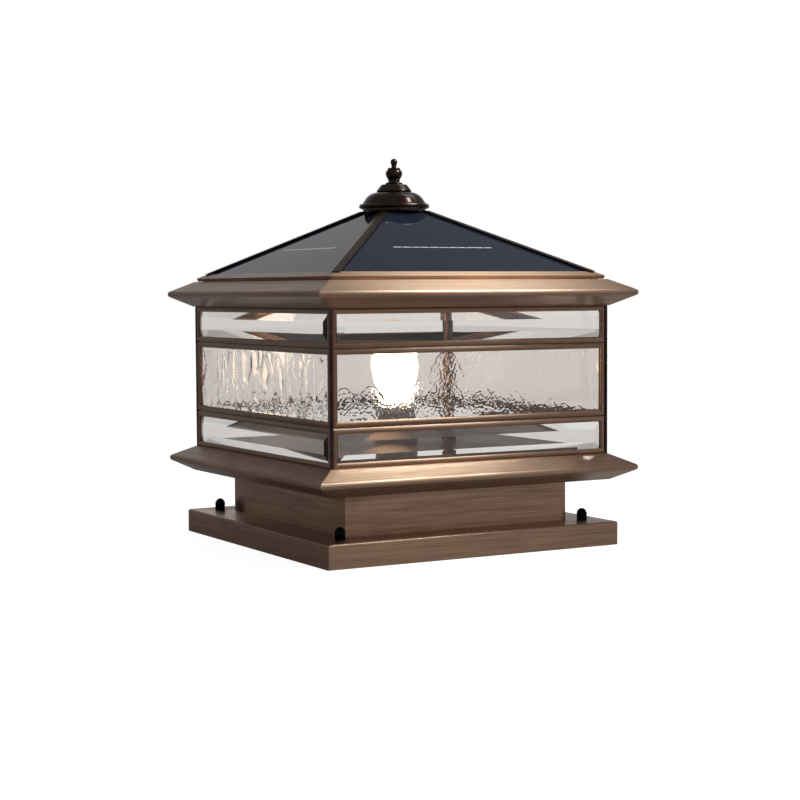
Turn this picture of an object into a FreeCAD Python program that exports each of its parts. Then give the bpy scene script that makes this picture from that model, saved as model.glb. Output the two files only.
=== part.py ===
import FreeCAD, Part
import math
import operator
import os
import Sketcher
from FreeCAD import Placement, Rotation, Vector

# Solar light that stands on a square garden pillar.
# Millimetres, +Z up, origin at the bottom centre of the base, wide face looking along -Y.

SIZES = {
    # Base tray, a shallow sheet box open underneath, its reach measured from the neck
    "tray_reach": 32.0,
    "tray_tall": 19.8,
    "tray_wall": 1.5,
    "tray_round": 1.8,
    "tray_corner_round": 1.2,
    # Two flat bars fixed to the pillar, each with two studs
    "bar_end_reach": 9.0,
    "bar_half_wide": 16.0,
    "bar_thick": 3.0,
    "stud_inset": 22.0,
    "anchor_inset": 36.0,
    "anchor_hole_radius": 4.5,
    "stud_radius": 2.5,
    "stud_top": 27.8,
    "stud_tip": 0.5,
    "stud_hole_gap": 0.3,
    # Nuts on the studs
    "thread_gap": 0.05,
    "lock_nut_corner": 4.8,
    "lock_nut_tall": 3.7,
    "nut_bevel": 0.35,
    "cap_nut_corner": 4.8,
    "cap_nut_hex_tall": 3.7,
    "cap_nut_dome": 4.1,
    "cap_nut_tall": 6.7,
    "cap_nut_room": 0.2,
    # Square neck between tray and lower eave, as wide as the eave's seat on it
    "neck_tall": 35.5,
    "neck_wall": 1.2,
    "neck_flange_wide": 14.0,
    # Rivets through both flanges of the neck
    "rivet_pitch": 60.0,
    "rivet_inset": 7.6,
    "rivet_radius": 2.0,
    "rivet_head_radius": 4.0,
    "rivet_head_tall": 1.3,
    "rivet_shop_radius": 3.4,
    # Eaves, folded sheet, their reach measured from the face of the glass body
    "eave_sheet": 1.2,
    "eave_rise": 22.0,
    "eave_foot_reach": 1.1,
    "eave_nose_reach": 15.5,
    "eave_nose_rise": 11.0,
    "eave_nose_radius": 3.0,
    "eave_top_reach": 0.2,
    "eave_fold": 0.3,
    "low_eave_seat_inset": 25.5,
    "top_eave_lip_inset": 13.5,
    # Glass body in three bands
    "glass_half": 131.5,
    "low_band": 32.0,
    "mid_band": 61.7,
    "top_band": 31.3,
    "stack_gap": 0.3,
    # Frame bars that hold the panes
    "frame_inset": 2.0,
    "frame_wide": 4.5,
    "frame_front": 1.65,
    "frame_shoulder": 0.95,
    "frame_crown": 2.6,
    "frame_web": 0.8,
    "frame_web_back": 4.1,
    "frame_back": 4.9,
    "post_side": 2.5,
    "post_nib": 0.1,
    "post_gap": 0.05,
    # Panes
    "pane_edge_gap": 0.1,
    "pane_seat_gap": 0.15,
    "clear_pane_thick": 3.6,
    "clear_pane_bevel_wide": 7.6,
    "clear_pane_bevel_deep": 1.71,
    "rough_pane_thick": 2.2,
    # Floor of the lantern, a pressed pan
    "floor_inset": 18.5,
    "floor_foot_inset": 12.0,
    "floor_rise": 7.3,
    "floor_sheet": 1.2,
    "floor_screw_inset": 15.2,
    "floor_screw_pitch": 60.0,
    # Small screws
    "screw_radius": 1.5,
    "screw_head_radius": 2.75,
    "screw_head_tall": 1.7,
    "screw_reach": 6.2,
    "screw_slot_wide": 0.7,
    "screw_slot_deep": 0.8,
    # Lampholder
    "holder_radius": 18.3,
    "holder_tall": 28.0,
    "holder_bore": 14.8,
    "holder_floor": 5.0,
    "holder_lip": 1.6,
    "holder_step_tall": 9.0,
    "holder_step_deep": 1.2,
    "holder_screw_offset": 8.2,
    "shell_outer": 14.7,
    "shell_foot": 1.8,
    "shell_tall": 20.0,
    "shell_gap": 0.06,
    "contact_radius": 4.2,
    "contact_tall": 1.4,
    "contact_thick": 0.6,
    # Bulb
    "cap_radius": 13.0,
    "cap_wall": 0.5,
    "cap_tall": 25.0,
    "cap_foot_radius": 9.0,
    "cap_foot_tall": 2.5,
    "cap_tip_radius": 3.2,
    "cap_tip_tall": 1.2,
    "cap_lift": 0.1,
    "globe_radius": 20.0,
    "globe_wall": 0.8,
    "globe_centre": 67.8,
    "globe_neck": 12.4,
    "globe_seat": 1.5,
    "stem_foot_radius": 8.5,
    "stem_foot_tall": 3.0,
    "stem_radius": 2.2,
    "stem_wire_radius": 0.9,
    "stem_low_hub": 55.0,
    "stem_top_hub": 81.0,
    "stem_hub_radius": 7.6,
    "stem_hub_thick": 0.8,
    "filament_radius": 0.9,
    "filament_circle": 6.0,
    # Strap across the top of the lantern and the rod that holds the roof
    "strap_half_wide": 8.0,
    "strap_thick": 2.0,
    "strap_end_inset": 2.5,
    "strap_screw_inset": 8.5,
    "strap_screw_offset": 4.5,
    "rod_radius": 3.0,
    "rod_gap": 0.05,
    "rod_bite": 11.0,
    "rod_tail": 5.5,
    "rod_hex_corner": 6.35,
    "rod_hex_tall": 3.0,
    "rod_nut_tall": 4.5,
    # Tube that carries the cord from roof to floor
    "tube_side": 53.5,
    "tube_radius": 4.05,
    "tube_bore": 2.9,
    "tube_tail": 3.0,
    "tube_foot_radius": 6.2,
    "tube_foot_tall": 8.0,
    "tube_head_radius": 4.9,
    "tube_head_tall": 4.0,
    # Cord from the head down to the lampholder
    "lamp_lead_radius": 1.2,
    "lamp_lead_turn": 12.0,
    "lamp_lead_level": 67.0,
    "lamp_lead_rise": 12.0,
    "lamp_lead_entry": 3.0,
    "lead_hole_gap": 0.3,
    "lead_entry_gap": 0.1,
    # Plug and socket between head and lantern
    "socket_radius": 8.0,
    "socket_tall": 11.5,
    "socket_bore": 6.0,
    "socket_floor": 2.5,
    "socket_lead_bite": 1.5,
    "plug_radius": 5.6,
    "plug_reach": 11.3,
    "plug_cap_radius": 7.5,
    "plug_cap_tall": 5.0,
    "plug_exit": 2.6,
    "plug_hole_gap": 0.1,
    # Roof: cover plate, rim, panels, hips; insets are from the face of the glass body
    "cover_inset": 5.5,
    "cover_thick": 1.2,
    "cover_rod_hole": 3.6,
    "cover_vent_radius": 7.0,
    "cover_vent_inset": 45.5,
    "cover_screw_radius": 1.25,
    "cover_screw_head": 2.4,
    "cover_screw_inset": 9.5,
    "cover_screw_bite": 1.4,
    "rim_lift": 0.3,
    "rim_inner_inset": 13.0,
    "rim_skirt_gap": 0.3,
    "rim_foot_inset": 2.35,
    "rim_inset": 1.05,
    "rim_face": 2.6,
    "rim_tall": 6.2,
    "rim_lip_inset": 8.6,
    "rim_lip_above": 0.7,
    "rim_slot_gap": 0.05,
    "rim_slot_room": 0.1,
    "rim_groove": 1.3,
    "panel_thick": 2.2,
    "panel_low_inset": 6.5,
    "panel_top_half": 19.4,
    "panel_side_gap": 1.7,
    "roof_rise": 52.1,
    "roof_run": 100.2,
    "hip_above": 2.0,
    "hip_leg": 6.4,
    "hip_groove": 1.3,
    "crown_half": 22.7,
    # Finial
    "apex_radius": 27.2,
    "apex_thick": 1.2,
    "apex_hole": 3.6,
    "bell_foot_radius": 27.6,
    "bell_foot_tall": 0.8,
    "bell_rim_radius": 30.5,
    "bell_rim_roll": 2.1,
    "bell_bead_radius": 27.4,
    "bell_bead_tall": 0.6,
    "bell_dome_inset": 0.3,
    "bell_dome_level": 2.0,
    "bell_dome_bend": 13.0,
    "bell_wall": 1.4,
    "tier_radius": 15.1,
    "tier_roll": 1.1,
    "tier_top_radius": 12.0,
    "tier_tall": 6.6,
    "knob_foot_radius": 7.4,
    "knob_foot_roll": 0.9,
    "knob_waist_radius": 5.0,
    "knob_waist_tall": 4.0,
    "knob_onion_radius": 4.6,
    "knob_onion_centre": 2.6,
    "knob_onion_level": 9.4,
    "knob_onion_rise": 3.2,
    "knob_collar_seat": 4.8,
    "knob_collar_radius": 5.6,
    "knob_collar_roll": 0.75,
    "knob_collar_level": 12.9,
    "knob_neck_radius": 2.2,
    "knob_neck_level": 17.0,
    "knob_ball_radius": 3.0,
    "knob_bore_room": 0.6,
    # Head internals
    "battery_back": 25.0,
    "battery_half_long": 38.0,
    "battery_wide": 41.0,
    "battery_tall": 21.0,
    "battery_wall": 1.5,
    "cell_radius": 9.2,
    "cell_half_long": 32.5,
    "cell_nub_radius": 3.0,
    "cell_nub_tall": 1.5,
    "cell_pitch": 9.4,
    "board_front": 25.0,
    "board_half_long": 35.0,
    "board_wide": 40.0,
    "board_thick": 1.6,
    "board_lift": 5.5,
    "board_post_inset": 4.0,
    "board_post_radius": 2.2,
    "chip_half": 5.0,
    "chip_tall": 1.4,
    "coil_radius": 5.5,
    "coil_tall": 4.5,
    "coil_offset": 15.0,
    "head_lead_radius": 0.9,
    "head_lead_turn": 9.0,
    "head_lead_level": 23.0,
    "panel_lead_half": 40.0,
    "side_lead_start": 15.0,
    "side_lead_end_x": 28.0,
    "side_lead_end_y": 50.0,
    "front_lead_end": 60.0,
    "back_lead_start": 20.0,
    "back_lead_end_x": 15.0,
    "back_lead_end_y": 32.0,
    "battery_lead_side": 29.0,
    "battery_lead_level": 17.0,
    "battery_lead_end": 33.0,
    "plug_lead_start_x": 35.0,
    "plug_lead_start_y": 32.0,
    "plug_lead_lift": 0.9,
    "plug_lead_bend": 6.0,
    "switch_inset": 71.5,
    "switch_half": 9.0,
    "switch_tall": 14.0,
    "switch_guide": 3.5,
    "switch_recess_radius": 6.2,
    "switch_recess_top": 11.0,
    "button_radius": 4.8,
    "button_flange_radius": 5.8,
    "button_flange_tall": 2.0,
    "button_reach": 5.0,
    "button_round": 0.8,
    "button_gap": 0.3,
    "switch_lead_end_x": 22.0,
    "switch_lead_end_y": 36.0,
}

doc = FreeCAD.newDocument("pillar_light")
sheet = doc.addObject("Spreadsheet::Sheet", "Sizes")
for row, (word, number) in enumerate(SIZES.items(), start=1):
    sheet.set(f"A{row}", str(number))
    sheet.setAlias(f"A{row}", word)
doc.recompute()


class Size:
    """A length worked out from the sheet, kept with the formula that ties it there."""

    def __init__(self, value, formula):
        self.value = float(value)
        self.formula = formula

    def __add__(self, other):
        return joined(self, operator.add, "+", other)

    def __radd__(self, other):
        return joined(other, operator.add, "+", self)

    def __sub__(self, other):
        return joined(self, operator.sub, "-", other)

    def __rsub__(self, other):
        return joined(other, operator.sub, "-", self)

    def __mul__(self, other):
        return joined(self, operator.mul, "*", other)

    def __rmul__(self, other):
        return joined(other, operator.mul, "*", self)

    def __truediv__(self, other):
        return joined(self, operator.truediv, "/", other)

    def __neg__(self):
        return joined(-1, operator.mul, "*", self)


def as_size(number):
    """Give any number as a Size."""
    return number if isinstance(number, Size) else Size(number, repr(number))


def joined(left, work, sign, right):
    """Join two sizes by one sum, in value and in formula."""
    left, right = as_size(left), as_size(right)
    return Size(work(left.value, right.value), f"({left.formula} {sign} {right.formula})")


def root(size):
    """Square root of a size."""
    return Size(math.sqrt(size.value), f"sqrt({size.formula})")


class Book:
    """The sizes of the sheet by name."""

    def __getattr__(self, word):
        return Size(SIZES[word], f"Sizes.{word}")


s = Book()
NODES = {}
SCREWS = []
QUARTERS = (0, 90, 180, 270)
SIDES = ("front", "right", "back", "left")

# Levels of the stack
neck_foot = s.tray_tall
neck_top = neck_foot + s.neck_tall
eave_top = neck_top + s.eave_rise
low_joint = eave_top + s.low_band
mid_joint = low_joint + s.mid_band
glass_top = mid_joint + s.top_band
floor_top = eave_top + s.floor_rise
cover_foot = glass_top + s.eave_rise
rim_foot = cover_foot + s.cover_thick
skirt_foot = cover_foot + s.rim_lift
lip_top = skirt_foot + s.rim_tall
panel_line = lip_top - s.rim_lip_above
slope_share = s.roof_rise / s.roof_run
slant_share = root(s.roof_rise * s.roof_rise + s.roof_run * s.roof_run) / s.roof_run
lip_half = s.glass_half - s.rim_lip_inset
panel_half = s.glass_half - s.panel_low_inset
crown_level = panel_line + (lip_half - s.crown_half) * slope_share + s.hip_above
apex_top = crown_level + s.apex_thick
bell_top = apex_top + s.bell_dome_level + s.bell_dome_bend
knob_foot = bell_top + s.tier_tall
rod_end = knob_foot + s.rod_bite
board_foot = rim_foot + s.board_lift
board_top = board_foot + s.board_thick
head_lead_run = rim_foot + s.head_lead_level

# Lines that the base, the neck, the glass body and the roof share with their neighbours
neck_half = s.glass_half - s.low_eave_seat_inset
neck_lip = neck_half - s.neck_flange_wide
rivet_line = neck_half - s.rivet_inset
tray_half = neck_half + s.tray_reach
stud_line = tray_half - s.stud_inset
bar_half_long = stud_line + s.bar_end_reach
anchor_line = stud_line - s.anchor_inset
floor_screw_line = s.glass_half - s.floor_screw_inset
frame_half = s.glass_half - s.frame_inset
post_face = s.glass_half - s.frame_front
post_back = post_face - s.post_side
web_line = frame_half - post_back + s.post_gap
pane_edge = web_line + s.frame_web + s.pane_edge_gap
pane_half = frame_half - pane_edge
pane_back = s.glass_half - s.frame_web_back + s.pane_seat_gap
switch_line = s.glass_half - s.switch_inset


def roof_level(half):
    """Level of the panels' upper face where the roof square has this half size."""
    return panel_line + (lip_half - half) * slope_share


def bind(thing, prop, size):
    """Tie one property to the sheet."""
    thing.setExpression(prop, as_size(size).formula)


def settle():
    """Bring the document up to date."""
    doc.recompute()


def new_body(name):
    """Start a body."""
    body = doc.addObject("PartDesign::Body", "Body")
    body.Label = name
    return body


def origin_part(body, role):
    """One plane or axis of a body's own origin."""
    return next(part for part in body.Origin.OriginFeatures if part.Role == role)


def sketch_in(body, role, lift=0):
    """Start a sketch on a plane of the body, lifted along its normal."""
    sketch = body.newObject("Sketcher::SketchObject", "Sketch")
    sketch.AttachmentSupport = [(origin_part(body, role), "")]
    sketch.MapMode = "FlatFace"
    if as_size(lift).value:
        sketch.AttachmentOffset = Placement(Vector(0, 0, lift.value), Rotation())
        bind(sketch, "AttachmentOffset.Base.z", lift)
    return sketch


def hold(sketch, item, end, kind, size):
    """Hold one coordinate of a point of a sketch."""
    if size.value == 0:
        axis = -2 if kind == "DistanceX" else -1
        sketch.addConstraint(Sketcher.Constraint("PointOnObject", item, end, axis))
    else:
        rule = sketch.addConstraint(Sketcher.Constraint(kind, -1, 1, item, end, size.value))
        bind(sketch, f"Constraints[{rule}]", size)


def pin(sketch, item, end, x, y):
    """Hold one point of a sketch at x and y."""
    x, y = as_size(x), as_size(y)
    if x.value == 0 and y.value == 0:
        sketch.addConstraint(Sketcher.Constraint("Coincident", item, end, -1, 1))
        return
    hold(sketch, item, end, "DistanceX", x)
    hold(sketch, item, end, "DistanceY", y)


def circle(sketch, x, y, radius):
    """Draw a whole circle."""
    x, y, radius = as_size(x), as_size(y), as_size(radius)
    item = sketch.addGeometry(Part.Circle(Vector(x.value, y.value, 0), Vector(0, 0, 1), radius.value))
    rule = sketch.addConstraint(Sketcher.Constraint("Radius", item, radius.value))
    bind(sketch, f"Constraints[{rule}]", radius)
    pin(sketch, item, 3, x, y)


def bearing(first, second):
    """Direction of the run between two corners, each (x, y, r), tangent where r is not 0."""
    away = second[0] - first[0], second[1] - first[1]
    apart = math.hypot(*away)
    return math.atan2(away[1], away[0]) - math.asin((second[2] - first[2]) / apart)


def on_round(corner, ring):
    """Tell whether a sharp corner lies on the circle of the next or last corner."""
    apart = math.hypot(corner[0] - ring[0], corner[1] - ring[1])
    return corner[2] == 0 and ring[2] != 0 and math.isclose(apart, abs(ring[2]), abs_tol=1e-7)


def draw(sketch, corners, closed=True):
    """Draw lines and tangent arcs through corners.

    A corner is (x, y) or (x, y, r). With r it is the centre of an arc: above 0 the centre lies
    left of the way along the outline, below 0 right of it.
    """
    sizes = [tuple(as_size(part) for part in (*corner, 0)[:3]) for corner in corners]
    spots = [tuple(part.value for part in corner) for corner in sizes]
    count = len(spots)
    runs = {}
    ends = {}
    last = count if closed else count - 1
    for here in range(last):
        there = (here + 1) % count
        first, second = spots[here], spots[there]
        if on_round(first, second) or on_round(second, first):
            sharp, ring = (first, second) if first[2] == 0 else (second, first)
            turn = math.atan2(sharp[1] - ring[1], sharp[0] - ring[0])
            way = turn + math.copysign(math.pi / 2, ring[2])
            ends[here, "out"] = ends[there, "in"] = (way, sharp[:2], None)
            continue
        way = bearing(first, second)
        left = -math.sin(way), math.cos(way)
        start = tuple(first[axis] - first[2] * left[axis] for axis in (0, 1))
        stop = tuple(second[axis] - second[2] * left[axis] for axis in (0, 1))
        item = sketch.addGeometry(Part.LineSegment(Vector(*start, 0), Vector(*stop, 0)))
        runs[here] = item
        ends[here, "out"] = (way, start, (item, 1))
        ends[there, "in"] = (way, stop, (item, 2))
    arcs = {}
    for here, (x, y, radius) in enumerate(spots):
        if radius == 0:
            continue
        quarter = math.copysign(math.pi / 2, radius)
        enter = ends[here, "in"][0] - quarter
        leave = ends[here, "out"][0] - quarter
        first, second = (enter, leave) if radius > 0 else (leave, enter)
        while second <= first:
            second += 2 * math.pi
        ring = Part.Circle(Vector(x, y, 0), Vector(0, 0, 1), abs(radius))
        item = sketch.addGeometry(Part.ArcOfCircle(ring, first, second))
        arcs[here] = (item, 1 if radius > 0 else 2, 2 if radius > 0 else 1)
    for here, (x, y, radius) in enumerate(sizes):
        before, after = ends.get((here, "in")), ends.get((here, "out"))
        if here in arcs:
            item, start, stop = arcs[here]
            size = radius if radius.value > 0 else -radius
            rule = sketch.addConstraint(Sketcher.Constraint("Radius", item, size.value))
            bind(sketch, f"Constraints[{rule}]", size)
            pin(sketch, item, 3, x, y)
            if before[2]:
                sketch.addConstraint(Sketcher.Constraint("Tangent", *before[2], item, start))
            if after[2]:
                sketch.addConstraint(Sketcher.Constraint("Tangent", item, stop, *after[2]))
            continue
        near = before and before[2] or before and arc_end(arcs, here - 1, count, 2)
        far = after and after[2] or after and arc_end(arcs, here + 1, count, 1)
        if near and far:
            sketch.addConstraint(Sketcher.Constraint("Coincident", *near, *far))
        held = near or far
        if not (before and not before[2] or after and not after[2]):
            pin(sketch, *held, x, y)
        elif x.value == 0:
            hold(sketch, *held, "DistanceX", x)
        else:
            hold(sketch, *held, "DistanceY", y)


def arc_end(arcs, here, count, end):
    """The start (1) or stop (2) of the arc at a corner, as a sketch point."""
    item = arcs[here % count]
    return item[0], item[end]


def mirrored(corners):
    """The same outline on the front side, its half sizes turned to -Y."""
    return [(-as_size(corner[0]), *corner[1:]) for corner in reversed(corners)]


def box_outline(sketch, x0, y0, x1, y1):
    """Draw a rectangle."""
    draw(sketch, [(x0, y0), (x1, y0), (x1, y1), (x0, y1)])


def square_outline(sketch, half):
    """Draw a square about the middle."""
    box_outline(sketch, -half, -half, half, half)


def feature(body, kind, profile, size=None, flip=False):
    """Add one feature drawn by a sketch."""
    settle()
    work = body.newObject(f"PartDesign::{kind}", kind)
    work.Profile = profile
    if kind in ("Revolution", "Groove"):
        work.ReferenceAxis = (profile, ["V_Axis"])
        work.Angle = 360
    if size is not None:
        bind(work, "Length", size)
    work.Reversed = flip
    settle()
    return work


def pad(body, sketch, tall):
    """Raise a sketch upward."""
    return feature(body, "Pad", sketch, tall)


def pocket(body, sketch, deep):
    """Cut a sketch upward from its plane."""
    return feature(body, "Pocket", sketch, deep, flip=True)


def drill(body, lift, deep, spots, radius):
    """Cut round holes upward from a level."""
    sketch = sketch_in(body, "XY_Plane", lift)
    for x, y in spots:
        circle(sketch, x, y, radius)
    return pocket(body, sketch, deep)


def turned(name, corners):
    """A body turned about Z from an outline of (radius, level)."""
    body = new_body(name)
    sketch = sketch_in(body, "XZ_Plane")
    draw(sketch, corners)
    feature(body, "Revolution", sketch)
    return body


def sweep(body, profile, path):
    """Carry a profile along a path with sharp mitres."""
    settle()
    pipe = body.newObject("PartDesign::AdditivePipe", "Sweep")
    pipe.Profile = profile
    pipe.Spine = path
    pipe.Transition = "Right corner"
    settle()
    return pipe


def square_ring(name, corners, half, level):
    """A mitred ring round the square, from an outline of (half size, level)."""
    body = new_body(name)
    path = sketch_in(body, "XY_Plane", level)
    draw(path, [(0, -half), (half, -half), (half, half), (-half, half), (-half, -half)])
    section = sketch_in(body, "YZ_Plane")
    draw(section, mirrored(corners))
    sweep(body, section, path)
    return body


def loft(body, first, second):
    """Join two sketches by flat faces."""
    settle()
    work = body.newObject("PartDesign::AdditiveLoft", "Loft")
    work.Profile = first
    work.Sections = [second]
    work.Ruled = True
    settle()
    return work


def block(name, x0, y0, x1, y1, foot, tall):
    """A straight block."""
    body = new_body(name)
    sketch = sketch_in(body, "XY_Plane", foot)
    box_outline(sketch, x0, y0, x1, y1)
    pad(body, sketch, tall)
    return body


def keep(body, name=None):
    """Note a finished sub-part."""
    if name:
        body.Label = name
    NODES[body.Label] = body
    return body


def move(thing, x, y, turn=0, z=0):
    """Set a thing in its place, turned about Z by degrees."""
    x, y, z = as_size(x), as_size(y), as_size(z)
    thing.Placement = Placement(Vector(x.value, y.value, z.value), Rotation(Vector(0, 0, 1), turn))
    for axis, size in zip("xyz", (x, y, z)):
        if size.value:
            bind(thing, f"Placement.Base.{axis}", size)
    return thing


def copies(name, source, spots):
    """Copies of one solid; a spot is (x, y) or (x, y, degrees)."""
    source.Label = f"one_of_{name}"
    settle()
    made = []
    for spot in spots:
        copy = doc.addObject("App::Link", "Copy")
        copy.LinkedObject = source
        made.append(move(copy, *spot))
    return made


def gather(name, pieces):
    """One node of several separate solids."""
    node = doc.addObject("Part::Compound", "Group")
    node.Links = pieces
    node.Label = name
    settle()
    return keep(node)


def group(name, source, spots):
    """One node of equal solids side by side."""
    return gather(name, copies(name, source, spots))


def square_spots(reach):
    """The four corners of a square."""
    return [(reach, reach), (-reach, reach), (-reach, -reach), (reach, -reach)]


def side_spots(along, line):
    """Two spots on each of the four sides."""
    spots = [(x, y) for x in (-along, along) for y in (-line, line)]
    return spots + [(y, x) for x, y in spots]


def hexagon(sketch, corner):
    """Draw a hexagon by its corner radius."""
    angles = [math.radians(60 * step) for step in range(6)]
    draw(sketch, [(corner * math.cos(angle), corner * math.sin(angle)) for angle in angles])


def hex_bevel(body, corner, face, way):
    """Take the six corners off a hexagon's upper face (way 1) or lower face (way -1)."""
    sketch = sketch_in(body, "XZ_Plane")
    flat = corner * math.cos(math.radians(30))
    draw(sketch, [(flat, face), (corner + s.nut_bevel, face - 2 * way * s.nut_bevel),
                  (corner + s.nut_bevel, face)])
    feature(body, "Groove", sketch)


def hex_nut(name, corner, foot, tall, bore):
    """A hexagon nut."""
    body = new_body(name)
    sketch = sketch_in(body, "XY_Plane", foot)
    hexagon(sketch, corner)
    if bore is not None:
        circle(sketch, 0, 0, bore)
    pad(body, sketch, tall)
    hex_bevel(body, corner, foot + tall, 1)
    return body


def slotted_screw(foot):
    """A small screw with its head standing on a level and its shank below."""
    head, top = s.screw_head_radius, foot + s.screw_head_tall
    low, edge = foot - s.screw_reach, s.screw_slot_deep / 2
    body = turned("screw", [(0, low), (s.screw_radius, low), (s.screw_radius, foot), (head, foot),
                            (head, top - edge), (head - edge, top), (0, top)])
    sketch = sketch_in(body, "XY_Plane", top - s.screw_slot_deep)
    wide = s.screw_slot_wide / 2
    box_outline(sketch, -head - wide, -wide, head + wide, wide)
    pocket(body, sketch, s.screw_slot_deep)
    return body


def lead(name, corners, radius, upright, start, stop=None, turn=None, across=0):
    """A round cord in one upright plane, along corners of (distance, level, turn radius)."""
    body = new_body(name)
    path = sketch_in(body, "XZ_Plane")
    draw(path, corners, closed=False)
    first = corners[0]
    section = sketch_in(body, "XY_Plane" if upright else "YZ_Plane", first[1] if upright else first[0])
    if upright:
        circle(section, across, 0, radius)
    else:
        circle(section, 0, first[1], radius)
    settle()
    pipe = body.newObject("PartDesign::AdditivePipe", "Sweep")
    pipe.Profile = section
    pipe.Spine = path
    settle()
    if turn is None:
        side, along = stop[0] - start[0], stop[1] - start[1]
        turn = math.degrees(math.atan2(along.value, side.value))
        move(body, *start, turn)
        body.setExpression("Placement.Rotation.Angle", f"atan2({along.formula}; {side.formula})")
    else:
        move(body, *start, turn)
    turns = sorted({round(abs(as_size(corner[2]).value), 2) for corner in corners if len(corner) > 2})
    long = path.Shape.Length
    full = body.Shape.Volume / (math.pi * radius.value ** 2 * long)
    print(f"{name}: cord {2 * radius.value} thick, {long:.1f} long, turns {turns}, volume share {full:.4f}")
    return body


def plan_length(start, stop):
    """Distance between two places seen from above."""
    across, along = as_size(stop[0] - start[0]), as_size(stop[1] - start[1])
    return root(across * across + along * along)


def build_base():
    """Tray, bars, studs and nuts."""
    tray = new_body("base_tray")
    sketch = sketch_in(tray, "XY_Plane")
    square_outline(sketch, tray_half)
    raised = pad(tray, sketch, s.tray_tall)
    upright = [f"Edge{at + 1}" for at, edge in enumerate(raised.Shape.Edges)
               if edge.BoundBox.ZLength > s.tray_wall.value]
    corner = tray.newObject("PartDesign::Fillet", "Corner")
    corner.Base = (raised, upright)
    bind(corner, "Radius", s.tray_corner_round)
    settle()
    rim = [f"Edge{at + 1}" for at, edge in enumerate(corner.Shape.Edges)
           if math.isclose(edge.BoundBox.ZMin, s.tray_tall.value, abs_tol=1e-6)]
    brow = tray.newObject("PartDesign::Fillet", "Brow")
    brow.Base = (corner, rim)
    bind(brow, "Radius", s.tray_round)
    settle()
    sketch = sketch_in(tray, "XY_Plane")
    square_outline(sketch, tray_half - s.tray_wall)
    pocket(tray, sketch, s.tray_tall - s.tray_wall)
    sketch = sketch_in(tray, "XY_Plane", s.tray_tall - s.tray_wall)
    square_outline(sketch, neck_lip)
    for x, y in square_spots(stud_line):
        circle(sketch, x, y, s.stud_radius + s.stud_hole_gap)
    for x, y in side_spots(s.rivet_pitch, rivet_line):
        circle(sketch, x, y, s.rivet_radius + s.thread_gap)
    pocket(tray, sketch, s.tray_wall)
    keep(tray)

    bar = new_body("bar")
    sketch = sketch_in(bar, "XY_Plane")
    box_outline(sketch, -bar_half_long, -s.bar_half_wide, bar_half_long, s.bar_half_wide)
    circle(sketch, -anchor_line, 0, s.anchor_hole_radius)
    circle(sketch, anchor_line, 0, s.anchor_hole_radius)
    pad(bar, sketch, s.bar_thick)
    group("mounting_bars", bar, [(0, stud_line), (0, -stud_line)])

    stud = turned("stud", [(0, s.bar_thick), (s.stud_radius, s.bar_thick),
                           (s.stud_radius, s.stud_top - s.stud_tip),
                           (s.stud_radius - s.stud_tip, s.stud_top), (0, s.stud_top)])
    corners = square_spots(stud_line)
    group("hold_down_studs", stud, corners)

    bore = s.stud_radius + s.thread_gap
    nut = hex_nut("nut", s.lock_nut_corner, s.tray_tall, s.lock_nut_tall, bore)
    group("lock_nuts", nut, corners)

    foot = s.tray_tall + s.lock_nut_tall
    cap = hex_nut("cap", s.cap_nut_corner, foot, s.cap_nut_hex_tall, None)
    dome_level = foot + s.cap_nut_tall - s.cap_nut_dome
    sketch = sketch_in(cap, "XZ_Plane")
    draw(sketch, [(0, foot), (s.cap_nut_dome - s.nut_bevel, foot), (0, dome_level, s.cap_nut_dome),
                  (0, dome_level + s.cap_nut_dome)])
    feature(cap, "Revolution", sketch)
    hex_bevel(cap, s.cap_nut_corner, foot, -1)
    drill(cap, foot, s.stud_top - foot + s.cap_nut_room, [(0, 0)], bore)
    group("cap_nuts", cap, corners)


def build_neck():
    """Square neck and its rivets."""
    outer, inner = neck_half, neck_half - s.neck_wall
    lip = neck_lip
    neck = square_ring("neck_shell", [
        (lip, neck_foot), (outer, neck_foot), (outer, neck_top), (lip, neck_top),
        (lip, neck_top - s.neck_wall), (inner, neck_top - s.neck_wall),
        (inner, neck_foot + s.neck_wall), (lip, neck_foot + s.neck_wall)], outer, neck_foot)
    spots = side_spots(s.rivet_pitch, rivet_line)
    hole = s.rivet_radius + s.thread_gap
    drill(neck, neck_foot, s.neck_wall, spots, hole)
    drill(neck, neck_top - s.neck_wall, s.neck_wall, spots, hole)
    keep(neck)

    low, high = neck_foot - s.tray_wall, neck_foot + s.neck_wall
    head, shop, tall = s.rivet_head_radius, s.rivet_shop_radius, s.rivet_head_tall
    lower = turned("rivet", [(0, low - tall), (shop, low - tall), (shop, low), (s.rivet_radius, low),
                             (s.rivet_radius, high), (head, high), (head - tall / 2, high + tall),
                             (0, high + tall)])
    rivets = copies("lower_rivets", lower, spots)
    low, high = neck_top - s.neck_wall, neck_top + s.eave_sheet
    upper = turned("rivet", [(0, low - tall), (head - tall / 2, low - tall), (head, low),
                             (s.rivet_radius, low), (s.rivet_radius, high), (shop, high),
                             (shop, high + tall), (0, high + tall)])
    gather("neck_rivets", rivets + copies("upper_rivets", upper, spots))


def eave_ring(name, foot, low_lip, top_lip):
    """A folded eave: lower flange, slope, rounded nose, slope, upper flange."""
    sheet_thick, top = s.eave_sheet, foot + s.eave_rise
    nose, bend = foot + s.eave_nose_rise, s.eave_nose_radius
    reach = s.glass_half + s.eave_nose_reach
    low, high = s.glass_half + s.eave_foot_reach, s.glass_half + s.eave_top_reach
    return square_ring(name, [
        (low_lip, foot), (low, foot), (reach, nose, bend), (high, top), (top_lip, top),
        (top_lip, top - sheet_thick), (high - s.eave_fold, top - sheet_thick),
        (reach, nose, sheet_thick - bend), (low - s.eave_fold, foot + sheet_thick),
        (low_lip, foot + sheet_thick)], reach, nose)


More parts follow.
